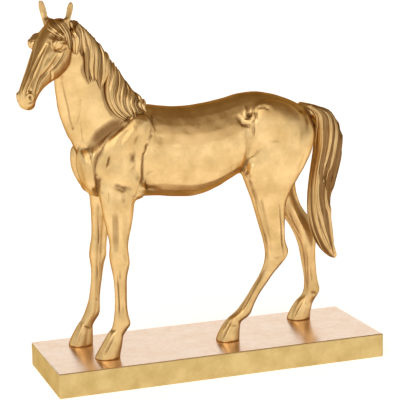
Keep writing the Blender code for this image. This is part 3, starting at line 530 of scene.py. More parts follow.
tailLocks = [
    [(307, 106), (316, 112), (317.5, 125), (317, 145), (315, 165), (312, 185), (311, 205), (313, 225),
     (319, 242), (326, 254), (331, 259)],
    [(309, 106), (319, 112), (321, 125), (321, 145), (318, 165), (315.5, 185), (315, 205), (317, 222),
     (322, 238), (329, 251), (333, 257)],
    [(312, 107), (323, 114), (325, 128), (324, 145), (321, 165), (319.5, 185), (318, 200), (321, 208)],
    [(316, 107.5), (327, 114), (330, 128), (329, 145), (326, 160), (323, 172), (323, 183)],
    [(320, 108), (331, 115), (335, 128), (334, 145), (331, 162), (327, 175), (326, 183), (332, 190)],
    [(324, 109), (335, 116), (339.5, 128), (339, 145), (336, 162), (333, 178), (329.5, 188), (325, 200),
     (322, 207)],
    [(327, 110.5), (338, 118), (342.5, 131), (342, 147), (339, 165), (335.5, 180), (331, 195), (329, 212),
     (330, 228), (331, 240)],
    [(318, 150), (318, 170), (317, 190), (318, 205), (321, 218), (324, 230), (328, 241), (331, 250)],
    [(322, 180), (321, 195), (323, 208), (324, 220), (327, 231), (330, 240)],
    [(326, 185), (325, 200), (327, 212), (329, 225), (331, 237), (333, 250), (334, 255)],
]

maneHair = {
    "half width": 2.25, "thickness": 2.7, "lift": 1.1, "strands": 2.4,
    "strand depth": 0.34, "under layer": 0.1, "tone": 0.0,
}
foreHair = {
    "half width": 1.9, "thickness": 1.7, "lift": 0.5, "strands": 1.6,
    "strand depth": 0.3, "under layer": 0.25, "tone": 0.0,
}
tailHair = {
    "half width": 2.7, "thickness": 2.5, "lift": 0.6, "strands": 2.6,
    "strand depth": 0.4, "under layer": 0.1, "tone": 0.28,
}
lockSides = 22
lockRings = {"near poll": 36, "near withers": 42, "forelock": 28, "tail": 56}


def splinePath(points, count):
    # Catmull-Rom through the points, evened out by its own length
    knots = np.array(points, float)
    padded = np.vstack([2 * knots[0] - knots[1], knots, 2 * knots[-1] - knots[-2]])
    t = np.linspace(0, len(knots) - 1, 12 * len(knots))
    i = np.minimum(t.astype(int), len(knots) - 2)
    u = (t - i)[:, None]
    a, b, c, d = padded[i], padded[i + 1], padded[i + 2], padded[i + 3]
    curve = b + 0.5 * u * (c - a + u * (2 * a - 5 * b + 4 * c - d + u * (3 * (b - c) + d - a)))
    length = np.concatenate([[0], np.cumsum(np.linalg.norm(np.diff(curve, axis=0), axis=1))])
    even = np.linspace(0, length[-1], count)
    return np.array([np.interp(even, length, column) for column in curve.T]).T


def sightOnto(tree, pixels, side):
    # Where the lines of sight through the pixels meet the body; side 1 looks from the horse's other side
    mirror = np.array([1.0, -side, 1.0])
    across, down = pixels[:, 0] - pictureMiddle, pixels[:, 1] - pictureMiddle
    lines = eyeAhead + np.outer(across / eyeLens, eyeRight) - np.outer(down / eyeLens, eyeUp)
    places, normals = [], []
    for line in lines:
        origin, aim = Vector(eyePlace * mirror), Vector(line * mirror)
        place, normal, _, _ = tree.ray_cast(origin, aim)
        if place is None:
            middle = origin + aim * (-eyePlace[1] / line[1])
            place, normal, _, _ = tree.find_nearest(middle)
        places.append(place)
        normals.append(-normal if normal.dot(aim) > 0 and aim.length > 0 else normal)
    return np.array(places), np.array(normals)


def softened(rows, rounds):
    # Each inner row becomes a quarter of each neighbour and half of itself, round after round
    rows = rows.copy()
    for _ in range(rounds):
        rows[1:-1] = 0.25 * rows[:-2] + 0.5 * rows[1:-1] + 0.25 * rows[2:]
    return rows


# Known fault: the rings of locks and lid rims run the wrong way round, so those shells' faces point inwards
def hairLock(places, normals, values, phase, raised):
    # A lock: across the path h = thickness x |sin|^0.8 x (1 - depth x wave^2), flatter below; along it, with
    # s from 0 to 1, the width grows from the root, then tapers to the tip as (1 - s^3.2)^0.75
    s = np.linspace(0, 1, len(places))[:, None]
    tangents = np.gradient(places, axis=0)
    tangents /= np.linalg.norm(tangents, axis=1)[:, None]
    across = np.cross(tangents, normals)
    across /= np.linalg.norm(across, axis=1)[:, None]
    away = np.cross(across, tangents)
    taper = (0.55 + 0.45 * np.clip(s / 0.3, 0, 1)) * np.clip(1 - s**3.2, 0, 1) ** 0.75
    wide = values["half width"] * (1 + 0.3 * math.sin(2.3 * phase)) * taper + 0.12
    full = 0.35 + 0.65 * np.sin(np.pi * np.clip(0.1 + 0.85 * s, 0, 1))
    thick = values["thickness"] * full * taper**0.5 + 0.1
    lift = values["lift"] * np.sin(np.pi * np.clip(0.05 + 0.9 * s, 0, 1)) * raised
    turn = np.linspace(0, 2 * np.pi, lockSides, endpoint=False)[None, :]
    a, b = np.cos(turn), np.sin(turn)
    wave = 0.5 + 0.5 * np.cos(np.pi * values["strands"] * a + phase + 1.1 * np.sin(4 * s + phase))
    top = np.abs(b) ** 0.8 * (1 - values["strand depth"] * wave**2) * (1 + 0.15 * a * math.cos(phase))
    height = np.where(b > 0, top, -0.6 * np.abs(b)) * thick + lift
    grid = places[:, None] + across[:, None] * (a * wide)[..., None] + away[:, None] * height[..., None]
    # painted shade: brown in the strand grooves, along the lock's edges, under it and on locks of the under
    # layer
    rims = values["tone"] + 0.35 * wave**3 + 1.1 * (1 - np.abs(b)) ** 2.5
    shade = np.clip(rims + np.where(b < 0, 1.0, 0.0) + 0.95 * max(1 - raised, 0), 0, 1)
    return grid, shade * np.ones_like(height)


def gridMesh(name, grids, shades):
    # One mesh of many closed tubes, each a grid of rings; the shade attribute says how much painted shade
    # each point takes
    faces, start = [], 0
    for grid in grids:
        rings, sides = grid.shape[:2]
        faces += ringFaces(rings, sides, start)
        start += rings * sides
    mesh = bpy.data.meshes.new(name)
    mesh.from_pydata(np.concatenate([grid.reshape(-1, 3) for grid in grids]).tolist(), [], faces)
    mesh.update()
    markShade(mesh, np.concatenate([shade.ravel() for shade in shades]))
    return mesh


def markShade(mesh, shares):
    layer = mesh.attributes.new("paintedShadeAmount", "FLOAT", "POINT")
    layer.data.foreach_set("value", shares.astype(np.float32))


betweenPoints = 12


def between(first, second, share):
    # A lock's pixels part of the way from one lock to the next
    return (1 - share) * splinePath(first, betweenPoints) + share * splinePath(second, betweenPoints)


def laidLocks(tree, locks, values, sides, rings):
    # Each lock lies where its pixels meet the body, with a lower one between it and the next
    def laid(pixels, side, phase, raised):
        places, normals = sightOnto(tree, splinePath(pixels, rings), side)
        return hairLock(softened(places, 3), softened(normals, 6), values, phase, raised)

    grids = []
    for side in sides:
        for i, lock in enumerate(locks):
            if i + 1 < len(locks):
                middle = between(lock, locks[i + 1], 0.5)
                grids.append(laid(middle, side, 1.3 * i + 0.7, values["under layer"]))
            grids.append(laid(lock, side, 2.1 * i + side, 1.0 + 0.6 * math.sin(2.2 * i)))
    return grids


def tailTree():
    # The tail's core, for the lines of sight to meet
    core = bmesh.new()
    addLoft(core, limbRings(drawnIn(tailRows, tailCore)))
    core.normal_update()
    tree = BVHTree.FromBMesh(core)
    core.free()
    return tree


# The near eye's lids as the photograph's pixels, and its ball; the far eye is their mirror image in the head
upperLid = [(55.4, 47.8), (56.8, 44.4), (59.8, 41.6), (63.4, 41.6), (66.0, 44.4), (67.0, 48.6)]
lowerLid = [(55.4, 48.0), (58.2, 50.2), (61.6, 50.9), (64.8, 50.2), (67.0, 48.8)]
eyeBall = (61.0, 46.2)
pupil = (62.6, 47.4)
browKnob = (53.6, 44.2)
faceParts = {
    "upper lid": 1.45, "lower lid": 0.75, "ball": 4.1, "ball sunk": 3.2,
    "pupil width": 1.3, "pupil depth": 0.5, "knob": 3.4, "knob sunk": 2.75, "lid sunk": 0.25,
}

lidRings, lidSides = 30, 14
ballRings, ballSides = 18, 28
ballPole = 0.995  # how far towards its poles the sphere's end rings go; their caps close it


def softTube(places, normals, radius, sunk):
    # A round rim along a path, r = radius x (0.12 + 0.88 sin(pi s)^0.45), let into the face by the share sunk
    s = np.linspace(0, 1, len(places))
    tangents = np.gradient(places, axis=0)
    tangents /= np.linalg.norm(tangents, axis=1)[:, None]
    across = np.cross(tangents, normals)
    across /= np.linalg.norm(across, axis=1)[:, None]
    away = np.cross(across, tangents)
    turn = np.linspace(0, 2 * np.pi, lidSides, endpoint=False)
    thick = radius * (0.12 + 0.88 * np.sin(np.pi * s) ** 0.45)
    ring = across[:, None] * np.cos(turn)[:, None] + away[:, None] * (np.sin(turn)[:, None] - sunk)
    return places[:, None] + ring * thick[:, None, None]


def ballGrid(centre, radius):
    # A sphere as rings from pole to pole: radius x (cos up cos turn, cos up sin turn, sin up)
    up = np.linspace(-ballPole, ballPole, ballRings) * np.pi / 2
    turn = np.linspace(0, 2 * np.pi, ballSides, endpoint=False)
    flat = np.cos(up)[:, None]
    rise = np.sin(up)[:, None] + 0 * turn
    return centre + radius * np.stack([flat * np.cos(turn), flat * np.sin(turn), rise], axis=-1)


def modelFace(tree):
    # Lids as rims, the ball as a shallow dome with its pupil let in and darkened with painted shade, and the
    # knob before the eye
    parts = []
    for line, size in ((upperLid, "upper lid"), (lowerLid, "lower lid")):
        places, normals = sightOnto(tree, splinePath(line, lidRings), nearSide)
        grid = softTube(softened(places, 4), softened(normals, 6), faceParts[size], faceParts["lid sunk"])
        parts.append((grid, np.zeros(grid.shape[:2])))
    place, normal = sightOnto(tree, np.array([eyeBall]), nearSide)
    ball = ballGrid(place[0] - normal[0] * faceParts["ball sunk"], faceParts["ball"])
    middle, _ = sightOnto(tree, np.array([pupil]), nearSide)
    away = ball - middle[0]
    aside = np.linalg.norm(away - (away @ normal[0])[..., None] * normal[0], axis=-1)
    dent = np.clip(1 - (aside / faceParts["pupil width"]) ** 2, 0, 1)
    ball = ball - normal[0] * (faceParts["pupil depth"] * dent)[..., None]
    # the pupil's dent takes painted shade
    parts.append((ball, 1.2 * np.clip(dent, 0, 0.8)))
    place, normal = sightOnto(tree, np.array([browKnob]), nearSide)
    knob = ballGrid(place[0] - normal[0] * faceParts["knob sunk"], faceParts["knob"])
    parts.append((knob, np.zeros(knob.shape[:2])))
    left, poll = headAxes()[2], np.array(headPoll, float)
    mirrored = [(grid - 2 * ((grid - poll) @ left)[..., None] * left, shade) for grid, shade in parts]
    return parts + [(grid[:, ::-1], shade[:, ::-1]) for grid, shade in mirrored]


def modelHair(body):
    # The mane, forelock and eyes as one mesh, and the tail as another
    tree = BVHTree.FromPolygons([v.co for v in body.vertices], [p.vertices for p in body.polygons])
    both = (nearSide, farSide)
    mane = laidLocks(tree, maneLocksNearPoll, maneHair, both, lockRings["near poll"])
    mane += laidLocks(tree, maneLocksNearWithers, maneHair, both, lockRings["near withers"])
    mane += laidLocks(tree, forelockLocks, foreHair, (nearSide,), lockRings["forelock"])
    mane += modelFace(tree)
    tail = laidLocks(tailTree(), tailLocks, tailHair, both, lockRings["tail"])
    return gridMesh("gildedMane", *zip(*mane)), gridMesh("gildedTail", *zip(*tail))


# Cuts and ridges in the photograph's pixels, each: half width in pixels, height out of the surface in steps,
# then its line; both sides of the horse have them. A ledge lifts the ground on the left of its line, from 0
# to its height over two pixels, and dies away over its reach.
trunkStrokes = [
    (9.5, -2.4, (126, 121), (114, 127), (103, 135), (94, 145)),
    (4.7, 1.02, (86, 143), (83, 146)),
    (4.7, -0.77, (134, 126), (128, 132), (122, 140), (119, 149)),
    (6.8, 0.72, (139, 126), (130, 136), (124, 148)),
    (4.3, -0.68, (145, 125), (141, 130), (137, 138), (134, 147)),
    (6.1, 0.72, (151, 127), (146, 136), (140, 147), (138, 160)),
    (3.1, -1.1, (151, 136), (146, 147), (142.5, 156), (142, 168), (142, 178), (138, 188), (134, 196)),
    (2.5, -1.1, (110, 156), (106.5, 168)),
    (3.9, 0.42, (104, 160), (103, 172)),
    (5.4, -0.81, (114, 184), (121, 187), (128, 190)),
    (5.4, -0.81, (97, 176), (98, 186), (99, 193)),
    (3.9, 1.1, (93, 151), (93, 165)),
    (1.9, -0.59, (90, 159), (92.5, 154)),
    (4.7, 0.85, (104, 192), (104, 203)),
    (3.1, -0.68, (108, 191), (108, 204)),
    (3.7, -0.77, (125, 192), (124, 204)),
    (3.4, -0.94, (143, 182), (148, 188), (160, 190)),
    (3.9, 0.68, (139, 190), (148, 187)),
    (3.9, -0.42, (145, 177), (150, 173), (156, 171)),
    (8, 0.35, (160, 118), (158, 130)),
    (7, -0.3, (163, 136), (159, 145)),
    (2.9, 1.27, (253.5, 111), (253, 117), (249, 121), (244, 121.5)),
    (2.3, 0.94, (245.5, 107), (245.5, 117)),
    (4.7, -0.77, (249, 112), (249, 117)),
    (3.4, -1.1, (238, 117), (243, 124), (250, 125)),
    (2.5, -0.94, (255.8, 120), (256, 111)),
    (3.7, -0.94, (249, 127), (248, 138), (249, 147), (247, 156), (245, 166), (243, 173)),
    (3.7, 0.68, (251, 130), (252, 138), (250.5, 144)),
    (2.3, -0.77, (254.5, 122), (255, 132), (253, 141), (250, 149)),
    (6, 1.7, (253, 163), (251, 178)),
    (1.9, 0.59, (246, 167), (244.5, 173)),
    (13, 0.5, (258, 141), (266, 144), (272, 148)),
    (10, 1.5, (121, 158), (126, 164), (131, 170)),
    (5.4, 0.54, (300, 122), (301, 134), (299, 150)),
    (2.3, -0.68, (306, 151), (303, 161), (298, 173)),
    (2.5, 0.59, (307, 119), (309, 128)),
    (3.1, -0.42, (257, 108), (264, 106), (270, 110)),
    (3.1, -0.42, (231, 157), (233.5, 164), (231, 171)),
    (8, -0.4, (181, 140), (178, 160), (182, 175)),
    (8, -0.4, (198, 138), (194, 158), (200, 172)),
    (8, -0.4, (214, 138), (211, 152), (216, 164)),
]
trunkLedges = [
    (15, 2.2, (97, 190), (95, 178), (94.5, 166), (97, 156), (103, 146), (110, 136), (119, 127), (129, 120)),
    (11, 1.2, (134, 198), (138, 188), (142, 178), (142, 166), (143, 154), (147, 146)),
    (16, 0.45, (154, 146), (155, 130), (152, 124), (151, 116), (154, 107)),
]
neckStrokes = [
    (2.3, -0.59, (62, 82), (65, 96), (68, 108), (70, 120), (73, 129), (77, 122), (80, 112), (80.5, 100)),
    (3.9, 0.77, (77, 127), (78, 137)),
    (3.1, -0.51, (80.5, 116), (81, 130), (82, 142)),
    (6, -0.5, (75, 80), (80, 95), (84, 110)),
]
nearLegStrokes = [
    (3.2, -0.8, (115, 210), (115.5, 228), (116, 245)),
    (3.4, 0.8, (114.5, 250), (114.5, 262)),
    (1.6, -0.6, (121, 263), (127, 264)),
    (1.7, -0.8, (120, 269), (120, 281)),
    (1.8, -0.9, (117.5, 276), (118.5, 295), (119.5, 317)),
    (2.2, 0.6, (123.5, 278), (124, 300), (126, 320)),
    (1.8, -0.8, (103, 331), (110, 329.5), (117, 330.5)),
    (1.7, -0.8, (114.5, 336), (109, 346), (104, 355)),
    (1.6, 0.5, (112, 335), (106, 347), (101, 356)),
    (2.4, -0.6, (259, 185), (262, 205), (266, 222), (270, 238), (271, 248)),
    (2.0, 0.5, (255, 200), (260, 217), (265, 234)),
    (1.4, -0.9, (279.5, 205), (281.5, 225), (282, 240), (283, 250), (284, 257)),
    (1.6, 0.4, (283.5, 225), (284, 243)),
    (1.4, -0.7, (273.5, 256.5), (277, 258.5), (280, 256.5)),
    (3.6, 0.7, (276, 246), (277, 254)),
    (1.5, -0.9, (264, 270), (259, 281), (253, 291), (247, 302), (243, 309)),
    (1.1, -0.5, (259, 278), (250, 292), (244, 303)),
    (1.8, -0.8, (232, 320), (228, 327), (224.5, 334), (222, 339)),
    (1.3, 0.5, (224, 327), (221.5, 337)),
    (1.6, -0.6, (226, 322), (232, 325), (238, 325)),
]
farLegStrokes = [
    (1.5, -0.8, (98, 200), (98.5, 240), (97.5, 262), (97, 300)),
    (1.6, 0.5, (94.5, 202), (94.5, 215)),
    (1.5, -0.6, (82.5, 331), (77.5, 346)),
    (1.6, -0.7, (83, 325), (92, 328)),
    (1.5, -0.7, (306, 247), (307, 262), (307.5, 284)),
    (1.2, -0.5, (310, 262), (311.5, 280)),
    (1.8, -0.9, (310.5, 292), (315, 294)),
    (1.5, -0.7, (303, 300), (296.5, 311), (294, 317)),
    (1.6, 0.5, (306, 302), (303, 315)),
    (2.4, 0.7, (294, 208), (299, 220), (305, 231)),
    (1.8, -0.8, (287, 207), (292, 222), (300, 236)),
]

# Painted shade: brown laid in bands where shadow and shade fall on the trunk, legs and head: half width in
# pixels, how much, its line
trunkPaintedShade = [
    (10, 1.0, (124, 121), (112, 128), (102, 135), (93, 146)),
    (2.6, 0.6, (98, 149), (95.5, 157), (94, 166), (95, 178), (97, 191)),
    (3.6, 0.7, (101, 86), (104, 96), (107, 106), (112, 114), (121, 120)),
    (3.4, 0.65, (80, 52), (82, 62), (83, 72), (88, 83)),
    (2.2, 0.8, (142.8, 154), (142, 166), (142, 178)),
    (5, 0.45, (140, 192), (152, 194), (170, 194), (190, 194)),
    (6, 0.12, (118, 182), (128, 190)),
    (3.4, 0.4, (97, 180), (98, 192), (103, 193)),
    (1.6, 0.7, (110, 156), (106.5, 168)),
    (3.6, 0.35, (144, 178), (152, 185), (160, 188)),
    (5, 0.3, (158, 136), (161, 146)),
    (8, 0.3, (154, 112), (157, 124)),
    (3, 0.5, (238, 117), (243, 124), (250, 125)),
    (6, 0.3, (243, 128), (249, 138), (248, 150)),
    (3, 0.45, (249, 147), (247, 158), (244, 172)),
    (1.4, 0.6, (62, 82), (65, 96), (68, 108), (70, 120), (73, 129)),
    (1.2, 0.4, (77, 124), (80, 112)),
    (6, 0.3, (72, 142), (78, 152), (82, 165), (84, 180)),
]
nearLegPaintedShade = [
    (4.5, 0.65, (115, 208), (115.5, 228), (116, 250)),
    (4, 0.3, (125, 205), (125, 245)),
    (2, 0.4, (124, 255), (126, 262)),
    (1.6, 0.55, (117.5, 276), (118.5, 295), (119.5, 317)),
    (2, 0.5, (106, 330), (116, 331)),
    (1.4, 0.6, (114.5, 336), (104, 355)),
    (3, 0.3, (259, 195), (263, 214), (268, 236)),
    (1.3, 0.65, (279.5, 205), (281.5, 225), (282, 240), (284, 257)),
    (1.3, 0.7, (264, 270), (259, 281), (253, 291), (247, 302), (243, 309)),
    (1.6, 0.6, (232, 320), (224.5, 334), (222, 339)),
    (2.2, 0.3, (270, 240), (271, 252)),
]
farLegPaintedShade = [
    (5, 0.4, (98, 200), (99, 240), (98, 262), (97, 300)),
    (2, 0.5, (83, 326), (92, 328)),
    (5, 0.45, (284, 200), (292, 218), (301, 238)),
    (3, 0.5, (292, 196), (303, 214), (309, 222)),
    (2.6, 0.5, (305, 245), (306, 262), (307, 286)),
    (2.4, 0.6, (311, 293), (316, 292)),
    (3, 0.4, (303, 300), (294, 317)),
]
headPaintedShade = [
    (5, 0.5, (50, 36.5), (57, 37), (62, 39)),
    (1.5, 0.6, (53, 49.4), (56, 51), (61, 51.6), (65, 50.4)),
    (1.6, 0.6, (57, 41.5), (56.8, 44)),
    (1.6, 0.55, (66.8, 47), (66, 54), (62, 60), (57, 66), (52, 71.5)),
    (1.4, 0.5, (41, 54), (37, 62), (33, 71), (31, 78), (28, 84)),
    (1.6, 0.5, (47, 72), (41, 78.5), (38.6, 84), (36.8, 91)),
    (4, 0.3, (64, 62), (61, 72), (56, 78)),
    (2, 0.8, (29.6, 96.6), (31, 98.8)),
    (1.4, 0.5, (27.5, 103.8), (32.6, 103)),
    (3, 0.6, (64, 20), (66, 25), (65, 29)),
    (4.5, 0.5, (68, 6), (68, 20)),
    (4.5, 0.5, (41, 4), (44, 20)),
]

# Strokes in the figure's steps: the breast's as y and z, and the far legs' outer ones as x and z from a joint
breastStrokes = [
    (7, -1.8, (0, 184), (0, 165), (0, 144)),
    (6, -1.2, (14, 178), (16, 160), (13, 146)),
    (6, -1.2, (-14, 178), (-16, 160), (-13, 146)),
]
forelegStrokes = [
    (5, -1.3, (-3, 52), (-1, 35), (0, 20)),
    (3.6, 0.7, (2, 8), (1, 3)),
    (2.4, -0.5, (-7, 2), (6, 1)),
    (3.2, 0.6, (3, -4), (3, -8)),
    (2.4, -1.0, (3.4, -16), (3.6, -30), (3.8, -46)),
    (2.0, -0.6, (-1.6, -18), (-1.4, -44)),
    (2.4, 0.8, (7, -54), (6, -58)),
]
hindlegStrokes = [
    (4, -1.0, (0, -3), (2, -5)),
    (3, 0.9, (10, 4), (9, 0)),
]
# Strokes of the head, in the photograph's pixels again
headStrokes = [
    (1.8, -0.81, (46, 45), (41, 54), (37, 62), (33, 71), (31, 78), (28, 84), (26, 89), (24.5, 94),
     (24.5, 105)),
    (3.9, 0.72, (49, 45), (44, 55), (41, 64), (38, 74), (35.5, 82), (34, 89)),
    (2.9, -0.45, (50, 55), (46, 61), (43, 67)),
    (2.3, 0.54, (56, 53), (52, 60), (48, 66)),
    (2, -0.45, (59, 54), (55.5, 60), (51.5, 66)),
    (2.2, 0.63, (62, 56), (58.5, 60), (55, 65), (51.5, 69.5)),
    (1.8, -1.17, (66, 49), (65, 54), (62, 59), (59, 63), (56, 67), (51.5, 71.5)),
    (2.1, -0.99, (51, 67), (47, 72), (41, 78.5), (38.6, 84), (36.8, 91), (36, 96)),
    (2, -0.81, (51, 71), (52, 76), (51, 80.5)),
    (1.7, -0.72, (30.6, 89.5), (30.4, 92)),
    (1.4, -0.54, (27.6, 93), (26.6, 94.4)),
    (2.4, -1.5, (29.6, 96.6), (31, 98.8)),
    (1.4, 0.81, (28, 97), (28.6, 95), (30.4, 94.2), (32.4, 95.6), (33, 98.4), (32, 101.6)),
    (1.8, 0.63, (29, 101), (31, 101.6)),
    (1.3, -0.63, (27.5, 103.5), (30, 104.6), (32.6, 103)),
    (2, 0.54, (21.5, 92), (21.5, 97)),
    (1.7, -0.99, (53, 48.8), (55.5, 51), (60, 51.4), (64.5, 50)),
    (3.9, -0.81, (51, 36), (57, 37.5), (61, 38.6)),
    (1.4, -0.63, (60, 36), (64.5, 39), (66.5, 43), (67.3, 48)),
]


def nearness(flat, line, halfWidth):
    # 1 on the line, falling to 0 at the half width as (1 - d^2)^2, and dying away over the line's ends
    line = np.array(line, float)
    lengths = np.linalg.norm(np.diff(line, axis=0), axis=1)
    nearest, reached = np.full(len(flat), np.inf), np.zeros(len(flat))
    for start, end, length, before in zip(line[:-1], line[1:], lengths, np.cumsum(lengths) - lengths):
        run = end - start
        share = np.clip((flat - start) @ run / (run @ run), 0, 1)
        distance = np.linalg.norm(flat - start - share[:, None] * run, axis=1)
        reached = np.where(distance < nearest, before + share * length, reached)
        nearest = np.minimum(nearest, distance)
    fade = 0.3 * lengths.sum()
    ends = 0.35 + 0.65 * ramp(reached, 0, fade) * ramp(lengths.sum() - reached, 0, fade)
    return np.clip(1 - (nearest / halfWidth) ** 2, 0, 1) ** 2 * ends


def ramp(value, low, high):
    # 0 below low and 1 above high, with a smooth step 3 s^2 - 2 s^3 between
    share = np.clip((value - low) / (high - low), 0, 1)
    return share * share * (3 - 2 * share)


def addStrokes(lift, flat, mask, strokes, shift=(0, 0), scale=1.0):
    # Lift grows by height x nearness to each line, where the mask lets it
    for halfWidth, height, *line in strokes:
        moved = [(x + shift[0], z + shift[1]) for x, z in line]
        lift += scale * height * nearness(flat, moved, halfWidth) * mask


def addLedges(lift, flat, mask, ledges):
    # A step up on one side of each line, which dies away over its reach as (1 - d / reach)^1.5
    for reach, height, *line in ledges:
        line = np.array(line, float)
        nearest, beside = np.full(len(flat), np.inf), np.zeros(len(flat))
        for start, end in zip(line[:-1], line[1:]):
            along = end - start
            share = np.clip((flat - start) @ along / (along @ along), 0, 1)
            gap = flat - start - share[:, None] * along
            distance = np.linalg.norm(gap, axis=1)
            turned = (along[0] * gap[:, 1] - along[1] * gap[:, 0]) < 0
            closer = distance < nearest
            beside = np.where(closer, np.where(turned, distance, -distance), beside)
            nearest = np.minimum(nearest, distance)
        ends = np.minimum(np.linalg.norm(flat - line[0], axis=1), np.linalg.norm(flat - line[-1], axis=1))
        fall = np.clip(1 - beside / reach, 0, 1) ** 1.5
        lift += height * ramp(beside, -1.0, 1.2) * fall * mask * ramp(ends, 0, 6)


def pictured(points, side):
    # Where points stand in the photograph, in pixels; side 1 looks from the horse's other side
    seen = points * np.array([1.0, -side, 1.0]) - eyePlace
    depth = seen @ eyeAhead
    return np.stack([pictureMiddle + eyeLens * (seen @ eyeRight) / depth,
                     pictureMiddle - eyeLens * (seen @ eyeUp) / depth], axis=1), seen


def facingEye(normals, seen, side):
    # The cosine between the surface's normal and the line back to the camera
    turned = normals * np.array([1.0, -side, 1.0])
    return -(turned * seen).sum(1) / np.linalg.norm(seen, axis=1)


def normalsOf(mesh):
    normals = np.empty(len(mesh.vertices) * 3, np.float32)
    mesh.vertices.foreach_get("normal", normals)
    return normals.reshape(-1, 3).astype(float)


# How high the soft unevenness of the hand-finished trunk stands, in steps, and where it starts
handworkHeight = 0.12
handworkAbove = (112, 140)

# Where the trunk's lines begin above the legs, as z, and the legs' below the trunk, as -z, each faded over
# its span
trunkAbove, legsBelow = (116, 126), (-134, -122)
neckAhead, breastAhead, breastAbove = (60, 75), (88, 98), (128, 136)


# From how steeply the camera sees a face to how much of a stroke it takes: none to all
strokeFacing, legFacing, paintedShadeFacing = (0.05, 0.3), (0.05, 0.25), (0.0, 0.2)

# Where the far legs' outer strokes are placed: x and z of the knee and of the hock
kneePlace, hockPlace = (-92.5, 82), (107, 82)
headStrokeScale = {nearSide: 0.9, farSide: 0.5}


def sideView(points, normals, side, facing):
    # Points in the photograph's pixels, and how fully the camera faces them
    flat, seen = pictured(points, side)
    return flat, ramp(facingEye(normals, seen, side), *facing)


def headView(points, normals, side, facing):
    # The same for the head, whose far side is the near side's mirror image in its own middle plane,
    # and which points are on the side asked for
    left, aside = headAxes()[2], headPlaces(points)[2]
    mirrored = points - np.outer(np.where(side > 0, 2 * aside, 0.0), left)
    turned = normals - np.outer(np.where(side > 0, 2 * (normals @ left), 0.0), left)
    flat, faced = sideView(mirrored, turned, nearSide, facing)
    return flat, faced, -side * aside > -0.5


def carve(mesh):
    # Moves the clay in and out along its own normals by every stroke
    points, normals = pointsOf(mesh), normalsOf(mesh)
    lift = np.zeros(len(points))
    x, y, z = points.T
    along, out, _ = headPlaces(points)
    insideHead = ramp(along, -6, 0) * ramp(out, -34, -28)
    for side in (nearSide, farSide):
        flat, faced = sideView(points, normals, side, strokeFacing)
        mask = faced * (y * side > 0) * ramp(z, *trunkAbove) * (1 - insideHead)
        addStrokes(lift, flat, mask, trunkStrokes)
        addLedges(lift, flat, mask, trunkLedges)
        addStrokes(lift, flat, mask * ramp(-x, *neckAhead), neckStrokes)
    # two crossed waves about 30 steps long, each bent by a slower one
    ripple = np.sin(0.21 * x + 1.7 * np.sin(0.13 * z)) * np.sin(0.19 * z + 1.3 * np.sin(0.17 * x + 0.1 * y))
    lift += handworkHeight * ripple * ramp(z, *handworkAbove) * (1 - insideHead)
    breast = ramp(-normals[:, 0], 0.05, 0.4) * ramp(-x, *breastAhead) * ramp(z, *breastAbove)
    addStrokes(lift, points[:, 1:3], breast, breastStrokes)
    fromBeside = points[:, [0, 2]]
    fore, hind = ramp(-x, 55, 65) * ramp(-z, -150, -130), ramp(x, -5, 5) * ramp(-z, -150, -125)
    outer = ramp(normals[:, 1], 0.1, 0.5) * (y > 0)
    addStrokes(lift, fromBeside, fore * outer, forelegStrokes, kneePlace)
    addStrokes(lift, fromBeside, hind * outer, hindlegStrokes, hockPlace)
    flat, faced = sideView(points, normals, nearSide, legFacing)
    low = faced * ramp(-z, *legsBelow)
    addStrokes(lift, flat, low * (y < 0), nearLegStrokes)
    addStrokes(lift, flat, low * (y > 0), farLegStrokes)
    for side in (nearSide, farSide):
        flat, faced, own = headView(points, normals, side, strokeFacing)
        addStrokes(lift, flat, insideHead * faced * own, headStrokes, scale=headStrokeScale[side])
    points += normals * lift[:, None]
    setPoints(mesh, points)


def bands(flat, rows):
    # The widest share of any row at each point: full to half its half width, then falling to nothing
    shares = np.zeros(len(flat))
    for halfWidth, share, *line in rows:
        near = np.sqrt(nearness(flat, line, halfWidth))
        shares = np.maximum(shares, share * ramp(near, 0.0, 0.9))
    return shares


# How much brown is laid evenly: over the legs from the trunk down, and over the ears as painted shade
legTone = 0.22
earPaintedShade = 0.42


def paintedShadeShares(mesh):
    # How much painted shade each point takes, from 0 to 1
    points, normals = pointsOf(mesh), normalsOf(mesh)
    along, out, _ = headPlaces(points)
    insideHead = ramp(along, -20, -14) * ramp(out, -34, -28)
    y, z = points[:, 1], points[:, 2]
    shares = np.maximum(legTone * ramp(-z, -125, -60), earPaintedShade * ramp(-along, 3, 8) * ramp(out, 2, 6))
    for side in (nearSide, farSide):
        flat, faced = sideView(points, normals, side, paintedShadeFacing)
        mask = faced * (y * side > 0) * (1 - insideHead)
        shares = np.maximum(shares, bands(flat, trunkPaintedShade) * mask * ramp(z, *trunkAbove))
    flat, faced = sideView(points, normals, nearSide, paintedShadeFacing)
    low = faced * ramp(-z, *legsBelow)
    shares = np.maximum(shares, bands(flat, nearLegPaintedShade) * low * (y < 0))
    shares = np.maximum(shares, bands(flat, farLegPaintedShade) * low * (y > 0))
    for side in (nearSide, farSide):
        flat, faced, own = headView(points, normals, side, paintedShadeFacing)
        shares = np.maximum(shares, bands(flat, headPaintedShade) * (insideHead * faced * own))
    return shares


def applyModifiers(obj):
    # The object's evaluated mesh takes the place of its mesh and modifiers
    graph = bpy.context.evaluated_depsgraph_get()
    made = bpy.data.meshes.new_from_object(obj.evaluated_get(graph))
    obj.modifiers.clear()
    old, obj.data = obj.data, made
    bpy.data.meshes.remove(old)


def fuse(obj, voxel):
    # Overlapping masses become one skin
    remesh = obj.modifiers.new("fuse", "REMESH")
    remesh.mode = "VOXEL"
    remesh.voxel_size = voxel
    applyModifiers(obj)


def pointsOf(mesh):
    points = np.empty(len(mesh.vertices) * 3, np.float32)
    mesh.vertices.foreach_get("co", points)
    return points.reshape(-1, 3).astype(float)


def setPoints(mesh, points):
    mesh.vertices.foreach_set("co", points.astype(np.float32).ravel())
    mesh.update()


